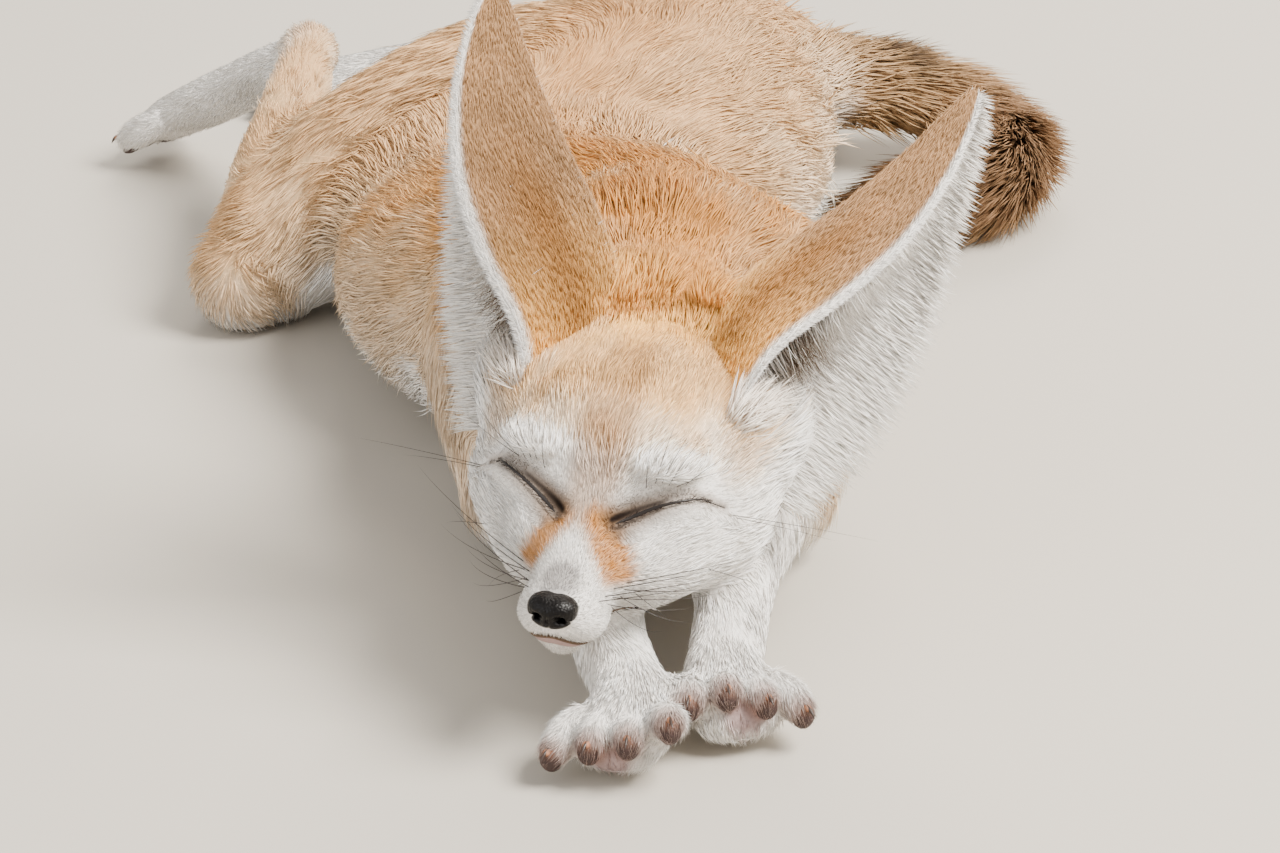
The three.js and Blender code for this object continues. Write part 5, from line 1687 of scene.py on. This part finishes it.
# %% The shared group
def surface_group(name, cells):
    """Varied colour, roughness and normal from noise at two scales; with `cells` the bump is pebbled.

    The colour is scaled by 1 + contrast (grain + 0.6 patches - 0.8), where 0.8 is the mean of the rest.
    """
    made = bpy.data.node_groups.new(name, "ShaderNodeTree")
    made.interface.new_socket("Color", in_out="INPUT", socket_type="NodeSocketColor")
    for label, value in (("Grain", 900.0), ("Patches", 60.0), ("Contrast", 0.2), ("Rough low", 0.5),
                         ("Rough high", 0.8), ("Height", 0.0001)):
        socket = made.interface.new_socket(label, in_out="INPUT", socket_type="NodeSocketFloat")
        socket.default_value = value
    for label, kind in (("Color", "Color"), ("Roughness", "Float"), ("Normal", "Vector")):
        made.interface.new_socket(label, in_out="OUTPUT", socket_type="NodeSocket" + kind)
    nodes, links = made.nodes, made.links
    given, result = nodes.new("NodeGroupInput"), nodes.new("NodeGroupOutput")
    place = nodes.new("ShaderNodeTexCoord").outputs["Object"]

    def worked(operation, *values):
        """The result of a Math node, whose inputs are numbers or other nodes' outputs."""
        node = nodes.new("ShaderNodeMath")
        node.operation = operation
        for socket, value in zip(node.inputs, values):
            if isinstance(value, bpy.types.NodeSocket):
                links.new(value, socket)
            else:
                socket.default_value = value
        return node.outputs[0]

    grain, patches = nodes.new("ShaderNodeTexNoise"), nodes.new("ShaderNodeTexNoise")
    for noise, scale in ((grain, "Grain"), (patches, "Patches")):
        noise.inputs["Detail"].default_value = 3
        links.new(place, noise.inputs["Vector"])
        links.new(given.outputs[scale], noise.inputs["Scale"])
    both = worked("MULTIPLY_ADD", patches.outputs["Fac"], 0.6, grain.outputs["Fac"])
    factor = worked("MULTIPLY_ADD", worked("SUBTRACT", both, 0.8), given.outputs["Contrast"], 1.0)
    tint = nodes.new("ShaderNodeVectorMath")
    tint.operation = "SCALE"
    links.new(given.outputs["Color"], tint.inputs[0])
    links.new(factor, tint.inputs["Scale"])
    links.new(tint.outputs[0], result.inputs["Color"])
    rough = nodes.new("ShaderNodeMapRange")
    rough.inputs["From Min"].default_value = 0.35
    rough.inputs["From Max"].default_value = 0.65
    for source, socket in ((grain.outputs["Fac"], "Value"), (given.outputs["Rough low"], "To Min"),
                           (given.outputs["Rough high"], "To Max")):
        links.new(source, rough.inputs[socket])
    links.new(rough.outputs[0], result.inputs["Roughness"])
    high = grain.outputs["Fac"]
    if cells:
        pebbles = nodes.new("ShaderNodeTexVoronoi")
        links.new(place, pebbles.inputs["Vector"])
        links.new(given.outputs["Grain"], pebbles.inputs["Scale"])
        high = pebbles.outputs["Distance"]
    bump = nodes.new("ShaderNodeBump")
    bump.invert = cells
    bump.inputs["Strength"].default_value = 0.6
    links.new(given.outputs["Height"], bump.inputs["Distance"])
    links.new(high, bump.inputs["Height"])
    links.new(bump.outputs[0], result.inputs["Normal"])
    return made


HAIR_GROUP = surface_group("hair_surface", False)
SKIN_GROUP = surface_group("pebbled_surface", True)
inputs = [item.name for item in HAIR_GROUP.interface.items_tree if item.in_out == "INPUT"]
print("the shared group takes", ", ".join(inputs))

# %% [markdown]
# Each finish is a material of its own round that group: soft matt hair, the skin under it, moist leather
# for the nose and dry for the pads, the lids' edges, and horn for the claws and whiskers.

# %% The materials
def painted(name, group, specular, *values):
    """A material whose colour is the piece's own painted attribute, broken up by a group."""
    made = bpy.data.materials.new(name)
    made.use_nodes = True
    nodes, links = made.node_tree.nodes, made.node_tree.links
    shader = nodes["Principled BSDF"]
    shader.inputs["Specular IOR Level"].default_value = specular
    coat_colour = nodes.new("ShaderNodeAttribute")
    coat_colour.attribute_name = "Coat"
    surface = nodes.new("ShaderNodeGroup")
    surface.node_tree = group
    for label, value in zip(("Grain", "Patches", "Contrast", "Rough low", "Rough high", "Height"), values):
        surface.inputs[label].default_value = value
    links.new(coat_colour.outputs["Color"], surface.inputs["Color"])
    links.new(surface.outputs["Color"], shader.inputs["Base Color"])
    links.new(surface.outputs["Roughness"], shader.inputs["Roughness"])
    links.new(surface.outputs["Normal"], shader.inputs["Normal"])
    return made


# The group, the specular level, the scales of the grain and the patches, the contrast, the lowest and
# highest roughness, and the height of the bump in metres
FINISHES = {
    "hair": (HAIR_GROUP, 0.22, 700.0, 55.0, 0.3, 0.55, 0.8, 0.00006),
    "skin under the hair": (HAIR_GROUP, 0.15, 1300.0, 55.0, 0.6, 0.7, 0.95, 0.0004),
    "moist leather": (SKIN_GROUP, 0.2, 1500.0, 200.0, 0.4, 0.28, 0.5, 0.00022),
    "dry leather": (SKIN_GROUP, 0.35, 1700.0, 260.0, 0.7, 0.5, 0.75, 0.0002),
    "lid edge": (HAIR_GROUP, 0.4, 2200.0, 300.0, 0.6, 0.35, 0.6, 0.00008),
    "horn": (HAIR_GROUP, 0.5, 1800.0, 300.0, 0.8, 0.3, 0.5, 0.00005),
}
made_of = {"hair": COAT_PIECES, "skin under the hair": [skin], "moist leather": [nose],
           "dry leather": [pads, folds], "lid edge": [lids, lip_line, lower_lip], "horn": [claws, whiskers]}
for name, finish in FINISHES.items():
    material = painted(name, *finish)
    for piece in made_of[name]:
        piece.data.materials.append(material)
print("the finishes are", ", ".join(FINISHES))

# %% [markdown]
# A museum sets such a model on a plain base under soft light. One large lamp from the upper right gives
# the shapes their form, a weaker one behind rims the coat, and a broad weak one from the left and a pale
# room fill the shadows.

# %% The floor, the light and the room
FLOOR_HALF = 8
PAPER = (0.47, 0.43, 0.37, 1)
floor = bpy.data.objects.new("floor", bpy.data.meshes.new("floor"))
corners = [(x * FLOOR_HALF, y * FLOOR_HALF, 0) for x, y in ((-1, -1), (1, -1), (1, 1), (-1, 1))]
floor.data.from_pydata(corners, [], [(0, 1, 2, 3)])
bpy.context.collection.objects.link(floor)
paper = bpy.data.materials.new("pale paper")
paper.use_nodes = True
paper_shader = paper.node_tree.nodes["Principled BSDF"]
paper_shader.inputs["Base Color"].default_value = PAPER
paper_shader.inputs["Roughness"].default_value = 0.9
floor.data.materials.append(paper)


def lamp(name, at, size, power, tone):
    """A square lamp that looks at the origin: its tilt and yaw are those of the way from it to there."""
    light = bpy.data.lights.new(name, "AREA")
    light.size, light.energy, light.color = size, power, tone
    placed = bpy.data.objects.new(name, light)
    placed.location = at
    way = -np.asarray(at, float)
    yaw, tilt = np.arctan2(way[1], way[0]), np.arccos(-way[2] / np.linalg.norm(way))
    placed.rotation_euler = (tilt, 0, yaw - np.pi / 2)
    bpy.context.collection.objects.link(placed)
    print(name, "gives", power, "W from", np.linalg.norm(at).round(2), "m away")


lamp("window lamp", (1.1, -0.4, 1.5), 0.9, 122, (1.0, 0.96, 0.9))
lamp("fill lamp", (-1.5, -1.3, 0.9), 1.4, 18, (0.95, 0.97, 1.0))
lamp("back lamp", (0.2, 1.6, 1.3), 1.0, 34, (1.0, 0.95, 0.88))
room = bpy.data.worlds.new("pale room")
room.use_nodes = True
walls = room.node_tree.nodes["Background"]
walls.inputs["Color"].default_value = (1.0, 0.98, 0.95, 1)
walls.inputs["Strength"].default_value = 0.88
bpy.context.scene.world = room

# %% [markdown]
# The camera stands where the photographer's did: in front of the fox, looking down at it by 25 degrees
# with a long lens from over a metre away.

# %% The camera
LOOKS_AT = np.array([0.0168, -0.1454, 0.05502])
AWAY, DOWN = 1.12, np.radians(25)
lens = bpy.data.cameras.new("camera")
lens.lens, lens.sensor_width = 135, 36
camera = bpy.data.objects.new("camera", lens)
camera.location = LOOKS_AT + AWAY * np.array([0, -np.cos(DOWN), np.sin(DOWN)])
camera.rotation_euler = (np.pi / 2 - DOWN, 0, 0)
bpy.context.collection.objects.link(camera)
bpy.context.scene.camera = camera
print("the camera is at", np.round(camera.location, 4))
